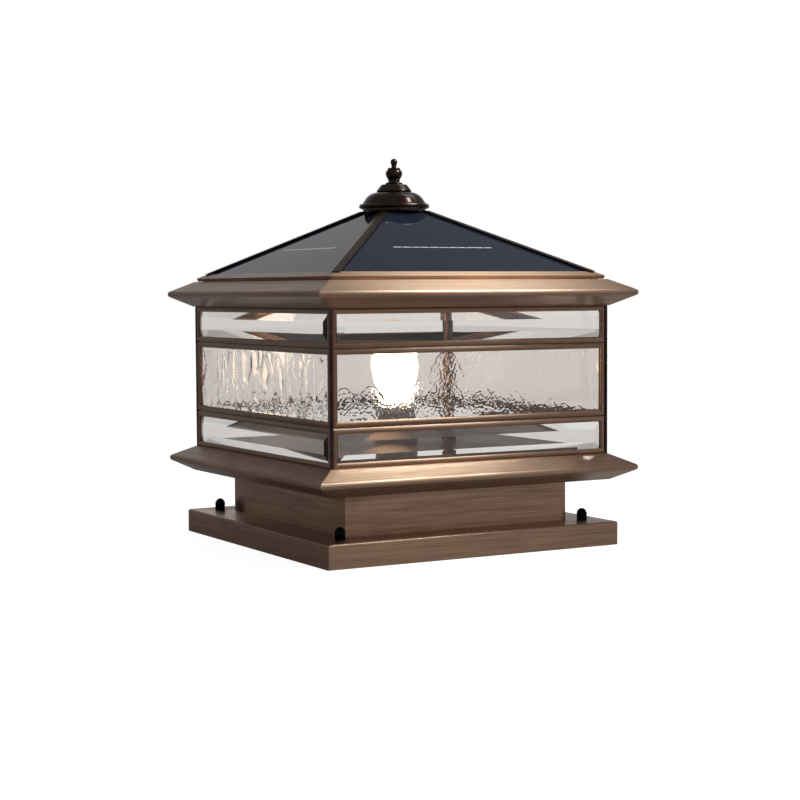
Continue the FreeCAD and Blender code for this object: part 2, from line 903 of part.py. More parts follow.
def build_lower_eave():
    """Folded eave under the glass."""
    eave = eave_ring("lower_eave", neck_top, neck_lip, neck_half)
    drill(eave, neck_top, s.eave_sheet, side_spots(s.rivet_pitch, rivet_line),
          s.rivet_radius + s.thread_gap)
    drill(eave, eave_top - s.eave_sheet, s.eave_sheet,
          side_spots(s.floor_screw_pitch, floor_screw_line), s.screw_radius + s.thread_gap)
    keep(eave)


def build_floor():
    """Lantern floor, its screws, the lampholder."""
    foot, top = eave_top, floor_top
    half, pan = s.glass_half - s.floor_foot_inset, s.glass_half - s.floor_inset
    floor = block("floor_plate", -half, -half, half, half, foot, s.floor_sheet)
    sketch = sketch_in(floor, "XY_Plane", foot)
    square_outline(sketch, pan)
    pad(floor, sketch, s.floor_rise)
    sketch = sketch_in(floor, "XY_Plane", foot)
    square_outline(sketch, pan - s.floor_sheet)
    pocket(floor, sketch, s.floor_rise - s.floor_sheet)
    screws = side_spots(s.floor_screw_pitch, floor_screw_line)
    drill(floor, foot, s.floor_sheet, screws, s.screw_radius + s.thread_gap)
    low = top - s.floor_sheet
    drill(floor, low, s.floor_sheet, [(s.lamp_lead_rise, 0)], s.lamp_lead_radius + s.lead_hole_gap)
    drill(floor, low, s.floor_sheet, [(s.tube_side, 0)], s.tube_radius + s.thread_gap)
    offset = s.holder_screw_offset
    holder_screws = [(offset, -offset), (-offset, offset)]
    drill(floor, low, s.floor_sheet, holder_screws, s.screw_radius + s.thread_gap)
    keep(floor)
    screw = slotted_screw(foot + s.floor_sheet)
    SCREWS.extend(copies("floor_screws", screw, screws))

    rim = top + s.holder_tall
    step = top + s.holder_tall - s.holder_step_tall
    narrow = s.holder_radius - s.holder_step_deep
    bottom = top + s.holder_floor
    holder = turned("lampholder_body", [
        (0, top), (s.holder_radius, top), (s.holder_radius, step), (narrow, step),
        (narrow, rim - s.holder_lip / 2), (narrow - s.holder_lip / 2, rim), (s.holder_bore, rim),
        (s.holder_bore, bottom), (0, bottom)])
    drill(holder, top, s.lamp_lead_entry + s.lead_entry_gap, [(s.lamp_lead_rise, 0)],
          s.lamp_lead_radius + s.lead_entry_gap)
    drill(holder, top, s.holder_floor, holder_screws, s.screw_radius + s.thread_gap)
    keep(holder)
    screw = slotted_screw(bottom)
    SCREWS.extend(copies("lampholder_screws", screw, holder_screws))

    foot = bottom + s.shell_foot
    bore = s.cap_radius + s.shell_gap
    keep(turned("lampholder_shell", [
        (bore, foot), (s.holder_bore, foot), (s.holder_bore, foot + s.contact_thick),
        (s.shell_outer, foot + s.contact_thick), (s.shell_outer, foot + s.shell_tall),
        (bore, foot + s.shell_tall)]))
    keep(turned("lampholder_contact", [
        (0, bottom), (s.contact_radius, bottom), (s.contact_radius, bottom + s.contact_thick),
        (s.cap_tip_radius, bottom + s.contact_tall), (0, bottom + s.contact_tall)]))


def build_bulb():
    """Pear shaped bulb with screw cap, stem and lit filaments."""
    tip = floor_top + s.holder_floor + s.contact_tall + s.cap_lift
    foot = tip + s.cap_tip_tall
    skirt = foot + s.cap_foot_tall
    top = foot + s.cap_tall
    wall = s.cap_wall
    inner = s.cap_radius - wall
    keep(turned("bulb_cap", [
        (0, tip), (s.cap_tip_radius, tip), (s.cap_tip_radius, foot), (s.cap_foot_radius, foot),
        (s.cap_radius, skirt), (s.cap_radius, top), (inner, top), (inner, skirt),
        (s.cap_foot_radius, foot + wall), (0, foot + wall)]))
    centre = floor_top + s.globe_centre
    seat = top - s.globe_seat
    globe, hollow = s.globe_radius, s.globe_radius - s.globe_wall
    neck = s.globe_neck
    bore, collar = neck - s.globe_wall, top + s.globe_wall
    keep(turned("bulb_globe", [
        (bore, seat), (neck, seat), (neck, collar), (0, centre, globe), (0, centre + globe),
        (0, centre + hollow), (0, centre, -hollow), (bore, collar)]))
    low, high = floor_top + s.stem_low_hub, floor_top + s.stem_top_hub
    hub, thin = s.stem_hub_radius, s.stem_hub_thick
    stem = turned("stem", [
        (0, seat), (bore, seat), (s.stem_foot_radius, seat + s.stem_foot_tall),
        (s.stem_radius, seat + 2 * s.stem_foot_tall), (s.stem_radius, low - thin), (hub, low - thin),
        (hub, low), (s.stem_wire_radius, low), (s.stem_wire_radius, high), (hub, high),
        (hub, high + thin), (0, high + thin)])
    stick = turned("stick", [(0, low), (s.filament_radius, low), (s.filament_radius, high), (0, high)])
    reach = s.filament_circle / math.sqrt(2)
    gather("bulb_filaments", [stem] + copies("filaments", stick, square_spots(reach)))


def frame_ring(name, foot, top):
    """One mitred frame on the front side, from foot to top."""
    body = new_body(name)
    half = frame_half
    path = sketch_in(body, "XZ_Plane")
    draw(path, [(0, foot), (half, foot), (half, top), (-half, top), (-half, foot)])
    web, wide = web_line, s.frame_wide
    groove = web + s.frame_web
    section = sketch_in(body, "YZ_Plane")
    profile = [(0, s.frame_front), (0, s.frame_shoulder), (wide / 2, s.frame_crown, -s.frame_crown),
               (wide, s.frame_shoulder), (wide, s.frame_front), (groove, s.frame_front),
               (groove, s.frame_web_back), (wide, s.frame_web_back), (wide, s.frame_back),
               (web + s.frame_back - s.frame_web_back, s.frame_back), (web, s.frame_web_back),
               (web, s.frame_front)]
    draw(section, [(-(s.glass_half - part[1]), foot + part[0], *part[2:]) for part in profile])
    sweep(body, section, path)
    return body


def pane_slab(name, foot, top, thick):
    """A flat pane for the front side between two frame edges."""
    body = new_body(name)
    sketch = sketch_in(body, "XZ_Plane", pane_back)
    box_outline(sketch, -pane_half, foot + pane_edge, pane_half, top - pane_edge)
    return body, feature(body, "Pad", sketch, thick)


def clear_pane(name, foot, top, turn):
    """Bevelled clear pane; the bevel is on its outer face."""
    body, slab = pane_slab(name, foot, top, s.clear_pane_thick)
    front = pane_back + s.clear_pane_thick
    edges = [f"Edge{at + 1}" for at, line in enumerate(slab.Shape.Edges)
             if math.isclose(line.BoundBox.YMax, -front.value, abs_tol=1e-6)]
    bevel = body.newObject("PartDesign::Chamfer", "Bevel")
    bevel.Base = (slab, edges)
    bevel.ChamferType = "Two distances"
    bind(bevel, "Size", s.clear_pane_bevel_deep)
    bind(bevel, "Size2", s.clear_pane_bevel_wide)
    settle()
    return keep(move(body, 0, 0, turn))


def rough_pane(name, foot, top, turn):
    """Middle pane of water glass, here at its mean thickness."""
    body, slab = pane_slab(name, foot, top, s.rough_pane_thick)
    return keep(move(body, 0, 0, turn))


def build_glass():
    """Posts, frames, cross bars and panes of the glass body."""
    near, face = post_back, post_face
    nib, tip = frame_half + s.post_gap, s.glass_half - s.post_nib
    post = new_body("post")
    sketch = sketch_in(post, "XY_Plane", eave_top)
    draw(sketch, [(near, near), (face, near), (face, nib), (tip, nib), (tip, tip), (nib, tip),
                  (nib, face), (near, face)])
    pad(post, sketch, glass_top - eave_top)
    group("corner_posts", post, [(0, 0, turn) for turn in QUARTERS])
    bands = {"lower": (eave_top, low_joint - s.stack_gap),
             "middle": (low_joint + s.stack_gap, mid_joint - s.stack_gap),
             "upper": (mid_joint + s.stack_gap, glass_top)}
    for band, (foot, top) in bands.items():
        ring = frame_ring("ring", foot, top)
        group(f"{band}_frames", ring, [(0, 0, turn) for turn in QUARTERS])
        make = rough_pane if band == "middle" else clear_pane
        for side, turn in zip(SIDES, QUARTERS):
            make(f"{band}_pane_{side}", foot, top, turn)
    tall = web_line + s.stack_gap - s.post_nib
    reach = post_back - s.post_gap
    bars = []
    for level in (low_joint, mid_joint):
        bar = block("bar", -reach, s.post_gap - face, reach, -(s.glass_half - s.frame_web_back),
                    level - tall, tall + tall)
        bars += copies("cross_bars", bar, [(0, 0, turn) for turn in QUARTERS])
    gather("cross_bars", bars)


def build_upper_eave():
    """Folded eave over the glass, strap, rod and lamp socket."""
    foot, thick = glass_top, s.eave_sheet
    lip = s.glass_half - s.top_eave_lip_inset
    eave = eave_ring("upper_eave", foot, lip, lip)
    far, off = s.glass_half - s.strap_screw_inset, s.strap_screw_offset
    ends = [(x, y) for x in (-far, far) for y in (-off, off)]
    drill(eave, foot, thick, ends, s.screw_radius + s.thread_gap)
    keep(eave)

    low = foot + thick
    end = s.glass_half - s.strap_end_inset
    strap = block("roof_strap", -end, -s.strap_half_wide, end, s.strap_half_wide, low, s.strap_thick)
    drill(strap, low, s.strap_thick, [(0, 0)], s.rod_radius + s.rod_gap)
    drill(strap, low, s.strap_thick, [(s.tube_side, 0)], s.tube_radius + s.thread_gap)
    drill(strap, low, s.strap_thick, ends, s.screw_radius + s.thread_gap)
    keep(strap)
    screw = slotted_screw(low + s.strap_thick)
    SCREWS.extend(copies("strap_screws", screw, ends))
    gather("lantern_screws", SCREWS)

    level = low + s.strap_thick
    rod = hex_nut("tie_rod", s.rod_hex_corner, level, s.rod_hex_tall, None)
    sketch = sketch_in(rod, "XZ_Plane")
    end = rod_end
    draw(sketch, [(0, low - s.rod_tail), (s.rod_radius, low - s.rod_tail),
                  (s.rod_radius, end - s.stud_tip), (s.rod_radius - s.stud_tip, end), (0, end)])
    feature(rod, "Revolution", sketch)
    keep(rod)
    keep(hex_nut("rod_nut", s.rod_hex_corner, low - s.rod_nut_tall, s.rod_nut_tall,
                 s.rod_radius + s.rod_gap))

    base = floor_top
    tube, bore = s.tube_radius, s.tube_bore
    keep(move(turned("cord_tube", [
        (bore, base - s.tube_tail), (tube, base - s.tube_tail), (tube, base),
        (s.tube_foot_radius, base), (s.tube_foot_radius, base + s.tube_foot_tall),
        (tube, base + s.tube_foot_tall), (tube, low - s.tube_head_tall),
        (s.tube_head_radius, low - s.tube_head_tall), (s.tube_head_radius, low), (tube, low),
        (tube, level), (bore, level)]), s.tube_side, 0))

    top = level + s.socket_tall
    floor = level + s.socket_floor
    socket = turned("lamp_socket", [
        (0, level), (s.socket_radius, level), (s.socket_radius, top), (s.socket_bore, top),
        (s.socket_bore, floor), (0, floor)])
    drill(socket, level, s.socket_lead_bite + s.lead_entry_gap, [(0, 0)],
          s.lamp_lead_radius + s.lead_entry_gap)
    keep(move(socket, s.tube_side, 0))

    turn, run, rise = s.lamp_lead_turn, s.lamp_lead_level, s.lamp_lead_rise
    drop = s.tube_side
    keep(lead("lamp_lead", [
        (drop, level + s.socket_lead_bite), (drop - turn, run + turn, -turn),
        (rise + turn, run + turn, -turn), (rise, floor_top + s.lamp_lead_entry)],
        s.lamp_lead_radius, True, (0, 0), turn=0, across=drop))


def build_roof():
    """Cover plate, rim, panels and hips of the lift-off roof."""
    half, line = s.glass_half - s.cover_inset, s.glass_half - s.cover_screw_inset
    cover = block("roof_cover_plate", -half, -half, half, half, cover_foot, s.cover_thick)
    sketch = sketch_in(cover, "XY_Plane", cover_foot)
    circle(sketch, 0, 0, s.cover_rod_hole)
    circle(sketch, -switch_line, 0, s.button_radius + s.button_gap)
    circle(sketch, s.tube_side, 0, s.plug_radius + s.plug_hole_gap)
    vent_line = s.glass_half - s.cover_vent_inset
    circle(sketch, -vent_line, 0, s.cover_vent_radius)
    circle(sketch, vent_line, 0, s.cover_vent_radius)
    pocket(cover, sketch, s.cover_thick)
    cone = cover.newObject("PartDesign::SubtractiveCone", "Countersink")
    bind(cone, "Radius1", s.cover_screw_head + s.thread_gap)
    bind(cone, "Radius2", s.cover_screw_radius + s.thread_gap)
    bind(cone, "Height", s.cover_thick)
    cone.Placement = Placement(Vector(0, -line.value, cover_foot.value), Rotation())
    bind(cone, "Placement.Base.y", -line)
    bind(cone, "Placement.Base.z", cover_foot)
    settle()
    around = cover.newObject("PartDesign::PolarPattern", "Around")
    around.Originals = [cone]
    around.Axis = (origin_part(cover, "Z_Axis"), [""])
    around.Angle = 360
    around.Occurrences = len(SIDES)
    cover.Tip = around
    settle()
    keep(cover)

    bite = rim_foot + s.cover_screw_bite
    head, shank = s.cover_screw_head, s.cover_screw_radius
    screw = turned("screw", [(0, cover_foot), (head, cover_foot), (shank, rim_foot), (shank, bite),
                             (0, bite)])
    screws = [(0, -line), (line, 0), (0, line), (-line, 0)]
    group("cover_screws", screw, screws)

    slot = panel_half + s.rim_slot_room
    top_face = roof_level(slot)
    under = top_face - s.panel_thick * slant_share - s.rim_slot_gap
    inner, skirt = s.glass_half - s.rim_inner_inset, half + s.rim_skirt_gap
    edge = s.glass_half - s.rim_inset
    rim = square_ring("roof_rim", [
        (inner, rim_foot), (skirt, rim_foot), (skirt, skirt_foot),
        (s.glass_half - s.rim_foot_inset, skirt_foot), (edge, skirt_foot + s.rim_face),
        (lip_half, lip_top), (lip_half, roof_level(lip_half) + s.rim_slot_gap),
        (slot, top_face + s.rim_slot_gap), (slot, under),
        (inner, under + (slot - inner) * slope_share)], edge, skirt_foot)
    drill(rim, rim_foot, s.cover_screw_bite + s.thread_gap, screws,
          s.cover_screw_radius + s.thread_gap)
    sketch = sketch_in(rim, "XY_Plane", skirt_foot)
    deep = s.rim_groove
    for way_x, way_y in ((1, 1), (-1, 1), (-1, -1), (1, -1)):
        spots = [(edge - deep, edge - deep), (edge + deep, edge - deep),
                 (edge + deep, edge + deep), (edge - deep, edge + deep)]
        spots = [(x * way_x, y * way_y) for x, y in spots]
        draw(sketch, spots if way_x * way_y > 0 else spots[::-1])
    pocket(rim, sketch, s.rim_tall)
    keep(rim)

    for side, turn in zip(SIDES, QUARTERS):
        panel = new_body(f"solar_panel_{side}")
        low, high = panel_half, s.panel_top_half
        face = panel.newObject("Sketcher::SketchObject", "Sketch")
        face.AttachmentSupport = [(origin_part(panel, "XY_Plane"), "")]
        face.MapMode = "FlatFace"
        pitch = math.degrees(math.atan(slope_share.value))
        face.AttachmentOffset = Placement(Vector(0, -low.value, roof_level(low).value),
                                          Rotation(Vector(1, 0, 0), pitch))
        bind(face, "AttachmentOffset.Base.y", -low)
        bind(face, "AttachmentOffset.Base.z", roof_level(low))
        face.setExpression("AttachmentOffset.Rotation.Angle", f"atan({slope_share.formula})")
        climb = (low - high) * slant_share
        wide, narrow = low - s.panel_side_gap, high - s.panel_side_gap
        draw(face, [(-wide, 0), (wide, 0), (narrow, climb), (-narrow, climb)])
        feature(panel, "Pad", face, s.panel_thick, flip=True)
        keep(move(panel, 0, 0, turn))

    rail = new_body("rail")
    ends = []
    for level in (lip_top, crown_level):
        skin = lip_half - (level - panel_line) / slope_share
        outer = skin + s.hip_above / slope_share
        back = outer - s.hip_leg
        groove = outer - s.hip_groove
        sketch = sketch_in(rail, "XY_Plane", level)
        draw(sketch, [(skin, back), (outer, back), (outer, groove), (groove, groove), (groove, outer),
                      (back, outer), (back, skin), (skin, skin)])
        ends.append(sketch)
    loft(rail, *ends)
    group("hip_rails", rail, [(0, 0, turn) for turn in QUARTERS])

    apex = new_body("apex_plate")
    sketch = sketch_in(apex, "XY_Plane", crown_level)
    circle(sketch, 0, 0, s.apex_radius)
    circle(sketch, 0, 0, s.apex_hole)
    pad(apex, sketch, s.apex_thick)
    keep(apex)


def build_finial():
    """Spun bell, tier and the knob that screws down on the rod."""
    foot, top = apex_top, bell_top
    roll, wall, bend = s.bell_rim_roll, s.bell_wall, s.bell_dome_bend
    low = foot + s.bell_foot_tall
    high = low + roll + roll
    side = s.bell_bead_radius - s.bell_dome_inset - bend
    centre = foot + s.bell_dome_level
    hole = s.rod_radius + s.rod_gap + s.rod_gap
    keep(turned("finial_bell", [
        (side + bend - wall, foot), (s.bell_foot_radius, foot), (s.bell_foot_radius, low),
        (s.bell_rim_radius - roll, low + roll, roll), (s.bell_bead_radius, high),
        (s.bell_bead_radius, high + s.bell_bead_tall), (side, centre, bend), (hole, top),
        (hole, top - wall), (side, centre, wall - bend)]))
    low, high = top, knob_foot
    roll = s.tier_roll
    keep(turned("finial_tier", [
        (hole, low), (s.tier_radius - roll, low + roll, roll), (s.tier_top_radius, high - roll),
        (s.tier_top_radius - roll, high), (hole, high)]))
    base = knob_foot
    bore = s.rod_radius + s.rod_gap
    room = rod_end + s.knob_bore_room
    foot_radius, roll, waist = s.knob_foot_radius, s.knob_foot_roll, s.knob_waist_radius
    onion, rise = s.knob_onion_radius, s.knob_onion_rise
    middle = base + s.knob_onion_level
    shoulder = s.knob_onion_centre + root(onion * onion - rise * rise)
    ring = s.knob_collar_roll
    collar, collar_foot = s.knob_collar_radius - ring, base + s.knob_collar_level
    neck, ball = s.knob_neck_radius, s.knob_ball_radius
    ball_foot = base + s.knob_neck_level
    ball_level = ball_foot + ball * 4 / 5
    keep(turned("finial_knob", [
        (bore, base), (foot_radius - roll, base + roll, roll), (waist, base + 2 * roll),
        (waist, base + s.knob_waist_tall), (s.knob_onion_centre, middle, onion),
        (shoulder, middle + rise), (s.knob_collar_seat, collar_foot),
        (collar, collar_foot + ring, ring), (neck, collar_foot + 2 * ring), (neck, ball_foot),
        (0, ball_level, ball), (0, ball_level + ball), (0, room), (bore, room)]))


def build_head_parts():
    """Battery, board, switch, plug and cords inside the roof."""
    foot = rim_foot
    near, far = s.battery_back, s.battery_back + s.battery_wide
    wall = s.battery_wall
    tray = block("battery_holder", -s.battery_half_long, near, s.battery_half_long, far, foot,
                 s.battery_tall)
    sketch = sketch_in(tray, "XY_Plane", foot + wall)
    box_outline(sketch, wall - s.battery_half_long, near + wall, s.battery_half_long - wall,
                far - wall)
    pocket(tray, sketch, s.battery_tall - wall)
    keep(tray)
    cell = new_body("cell")
    level = foot + wall + s.cell_radius
    sketch = sketch_in(cell, "YZ_Plane", -s.cell_half_long)
    circle(sketch, 0, level, s.cell_radius)
    feature(cell, "Pad", sketch, s.cell_half_long + s.cell_half_long)
    sketch = sketch_in(cell, "YZ_Plane", s.cell_half_long)
    circle(sketch, 0, level, s.cell_nub_radius)
    feature(cell, "Pad", sketch, s.cell_nub_tall)
    middle = (near + far) / 2
    group("battery_cells", cell, [(0, middle - s.cell_pitch), (0, middle + s.cell_pitch, 180)])

    front = -s.board_front
    edge = front - s.board_wide
    board = block("controller_board", -s.board_half_long, edge, s.board_half_long, front, board_foot,
                  s.board_thick)
    middle = (front + edge) / 2
    sketch = sketch_in(board, "XY_Plane", board_top)
    box_outline(sketch, -s.chip_half, middle - s.chip_half, s.chip_half, middle + s.chip_half)
    pad(board, sketch, s.chip_tall)
    sketch = sketch_in(board, "XY_Plane", board_top)
    circle(sketch, s.coil_offset, middle, s.coil_radius)
    pad(board, sketch, s.coil_tall)
    keep(board)
    post = turned("post", [(0, foot), (s.board_post_radius, foot), (s.board_post_radius, board_foot),
                           (0, board_foot)])
    x, inset = s.board_half_long - s.board_post_inset, s.board_post_inset
    group("board_posts", post, [(x, front - inset), (-x, front - inset), (x, edge + inset),
                                (-x, edge + inset)])

    low = foot + s.switch_guide
    case = block("switch_body", -s.switch_half, -s.switch_half, s.switch_half, s.switch_half, foot,
                 s.switch_tall)
    drill(case, foot, s.switch_guide, [(0, 0)], s.button_radius + s.thread_gap)
    drill(case, low, s.switch_recess_top - s.switch_guide, [(0, 0)], s.switch_recess_radius)
    keep(move(case, -switch_line, 0))
    tip = cover_foot - s.button_reach
    curve = s.button_round
    button = turned("switch_button", [
        (0, tip), (s.button_radius - curve, tip + curve, curve),
        (s.button_radius, low), (s.button_flange_radius, low),
        (s.button_flange_radius, low + s.button_flange_tall), (0, low + s.button_flange_tall)])
    keep(move(button, -switch_line, 0))

    plug_foot = cover_foot - s.plug_reach
    plug_top = foot + s.plug_cap_tall
    plug = turned("head_plug", [
        (0, plug_foot), (s.plug_radius, plug_foot), (s.plug_radius, foot), (s.plug_cap_radius, foot),
        (s.plug_cap_radius, plug_top), (0, plug_top)])
    bite = s.socket_lead_bite
    sketch = sketch_in(plug, "YZ_Plane", s.plug_cap_radius - bite - s.lead_entry_gap)
    circle(sketch, 0, foot + s.plug_exit, s.head_lead_radius + s.lead_entry_gap)
    pocket(plug, sketch, bite + s.lead_entry_gap)

    radius, turn, run = s.head_lead_radius, s.head_lead_turn, head_lead_run
    half = s.panel_lead_half
    top = roof_level(half) - s.panel_thick * slant_share - radius * slope_share
    routes = {
        "front": ((0, -half), (0, -s.front_lead_end)),
        "right": ((half, -s.side_lead_start), (s.side_lead_end_x, -s.side_lead_end_y)),
        "left": ((-half, -s.side_lead_start), (-s.side_lead_end_x, -s.side_lead_end_y)),
        "back": ((s.back_lead_start, half), (s.back_lead_end_x, -s.back_lead_end_y)),
    }
    cords = []
    for side, (start, stop) in routes.items():
        start = tuple(as_size(part) for part in start)
        stop = tuple(as_size(part) for part in stop)
        long = plan_length(start, stop)
        cords.append(lead(f"{side}_panel_cord", [
            (0, top), (turn, run + turn, turn), (long - turn, run - turn, -turn), (long, board_top)],
            radius, True, start, stop))
    level = foot + s.battery_lead_level
    start = (-s.battery_lead_side, near)
    stop = (-s.battery_lead_side, -s.battery_lead_end)
    long = plan_length(start, stop)
    cords.append(lead("battery_cord", [
        (0, level), (long - turn, level - turn, -turn), (long, board_top)],
        radius, False, start, stop))
    start = (-switch_line, as_size(0))
    stop = (-s.switch_lead_end_x, -s.switch_lead_end_y)
    long = plan_length(start, stop)
    case_top = foot + s.switch_tall
    cords.append(lead("switch_cord", [
        (0, case_top), (turn, case_top + turn, -turn), (long - turn, case_top + turn, -turn),
        (long, board_top)], radius, True, start, stop))
    start = (s.plug_lead_start_x, -s.plug_lead_start_y)
    stop = (s.tube_side, as_size(0))
    long = plan_length(start, stop)
    high, low = board_top + s.plug_lead_lift, foot + s.plug_exit
    cords.append(lead("plug_cord", [
        (0, high), (s.plug_lead_bend, high - turn, -turn),
        (long - s.plug_cap_radius - s.plug_lead_bend, low + turn, turn),
        (long - s.plug_cap_radius + bite, low)], radius, False, start, stop))
    gather("head_leads", cords)
    across, along = stop[0] - start[0], stop[1] - start[1]
    keep(move(plug, *stop, math.degrees(math.atan2(-along.value, -across.value))))


def check_and_write():
    """Check every object and write one file for each node."""
    settle()
    bad = []
    for thing in doc.Objects:
        state = thing.State
        if "Invalid" in state or "Error" in state:
            owner = thing.getParentGeoFeatureGroup()
            bad.append(f"{thing.Name} of {owner.Label if owner else None}: {state}")
    if bad:
        raise RuntimeError("; ".join(bad))
    os.makedirs("parts", exist_ok=True)
    for name, thing in NODES.items():
        shape = thing.Shape
        if shape.isNull() or not shape.isValid() or shape.Volume <= 0:
            raise RuntimeError(f"{name} has a bad shape")
        box = shape.BoundBox
        print(f"{name}: {len(shape.Solids)} solids, {shape.Volume:.1f} mm3, "
              f"x {box.XMin:.2f} {box.XMax:.2f} y {box.YMin:.2f} {box.YMax:.2f} "
              f"z {box.ZMin:.2f} {box.ZMax:.2f}")
        shape.exportStep(f"parts/{name}.step")
    print(f"{len(NODES)} nodes")


build_base()
build_neck()
build_lower_eave()
build_floor()
build_bulb()
build_glass()
build_upper_eave()
build_roof()
build_finial()
build_head_parts()
check_and_write()
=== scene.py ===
"""Solar pillar light: finishes, rolled glass, lit bulb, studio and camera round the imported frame."""

import logging
import math
from dataclasses import dataclass, field
from enum import Enum
from typing import Any

import bmesh
import bpy
from mathutils import Matrix, Vector, noise


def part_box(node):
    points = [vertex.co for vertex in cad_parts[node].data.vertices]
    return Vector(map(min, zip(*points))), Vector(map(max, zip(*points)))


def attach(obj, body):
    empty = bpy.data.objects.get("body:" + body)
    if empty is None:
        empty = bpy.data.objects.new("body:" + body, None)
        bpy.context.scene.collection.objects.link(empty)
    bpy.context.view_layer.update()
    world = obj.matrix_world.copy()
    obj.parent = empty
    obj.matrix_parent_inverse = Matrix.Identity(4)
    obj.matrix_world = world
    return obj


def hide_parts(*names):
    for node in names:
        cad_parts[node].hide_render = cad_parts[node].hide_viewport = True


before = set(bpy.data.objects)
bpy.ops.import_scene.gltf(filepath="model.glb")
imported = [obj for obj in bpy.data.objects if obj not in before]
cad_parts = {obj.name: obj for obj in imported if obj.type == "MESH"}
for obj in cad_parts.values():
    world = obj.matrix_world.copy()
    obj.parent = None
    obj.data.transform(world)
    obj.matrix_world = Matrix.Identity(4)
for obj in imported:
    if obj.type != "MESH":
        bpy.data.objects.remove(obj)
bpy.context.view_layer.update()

log = logging.getLogger("pillar_light")

MM = 0.001


class Side(Enum):
    """The light's four sides, each with the degrees that it is turned from the front."""

    FRONT = 0
    RIGHT = 90
    BACK = 180
    LEFT = 270

    @property
    def word(self) -> str:
        """The side as the names of its pieces end with it."""
        return self.name.lower()


def linear(code: str) -> tuple[float, float, float, float]:
    """Turn an sRGB hex colour into a linear one.

    Args:
        code: Six hex digits with a leading hash.

    Returns:
        Linear red, green and blue, and full opacity.
    """
    parts = [int(code[at:at + 2], 16) / 255 for at in (1, 3, 5)]
    values = [part / 12.92 if part <= 0.04045 else ((part + 0.055) / 1.055) ** 2.4 for part in parts]
    return (*values, 1.0)


def put(tree: bpy.types.NodeTree, kind: str, values: dict | None = None, links: dict | None = None,
        **settings: Any) -> bpy.types.Node:
    """Add one node with its settings and links.

    Args:
        tree: Node tree that takes the node.
        kind: Blender's name of the node type without its leading words.
        values: Input values by name or place.
        links: Output sockets that feed inputs, by name or place.
        **settings: Properties of the node.

    Returns:
        The new node.
    """
    node = tree.nodes.new("ShaderNode" + kind)
    for name, value in settings.items():
        setattr(node, name, value)
    for key, value in (values or {}).items():
        node.inputs[key].default_value = value
    for key, socket in (links or {}).items():
        tree.links.new(socket, node.inputs[key])
    return node


def new_tree(name: str) -> tuple[bpy.types.Material, bpy.types.NodeTree, bpy.types.Node]:
    """Start an empty material.

    Args:
        name: Name of the material.

    Returns:
        The material, its tree and its output node.
    """
    material = bpy.data.materials.new(name)
    material.use_nodes = True
    tree = material.node_tree
    tree.nodes.clear()
    return material, tree, put(tree, "OutputMaterial")


def dress(thing: bpy.types.Object, material: bpy.types.Material) -> None:
    """Give an object one material.

    Args:
        thing: Mesh object.
        material: Its new material.
    """
    if not thing.material_slots:
        thing.data.materials.append(material)
    for slot in thing.material_slots:
        slot.link = "OBJECT"
        slot.material = material


def wear(finish: bpy.types.Material, *nodes: str) -> None:
    """Dress nodes of the frame in one finish and report each.

    Args:
        finish: Material that the nodes wear.
        *nodes: Names of the nodes.
    """
    for node in nodes:
        dress(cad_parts[node], finish)
        log.info("%s: %s", node, finish.name)


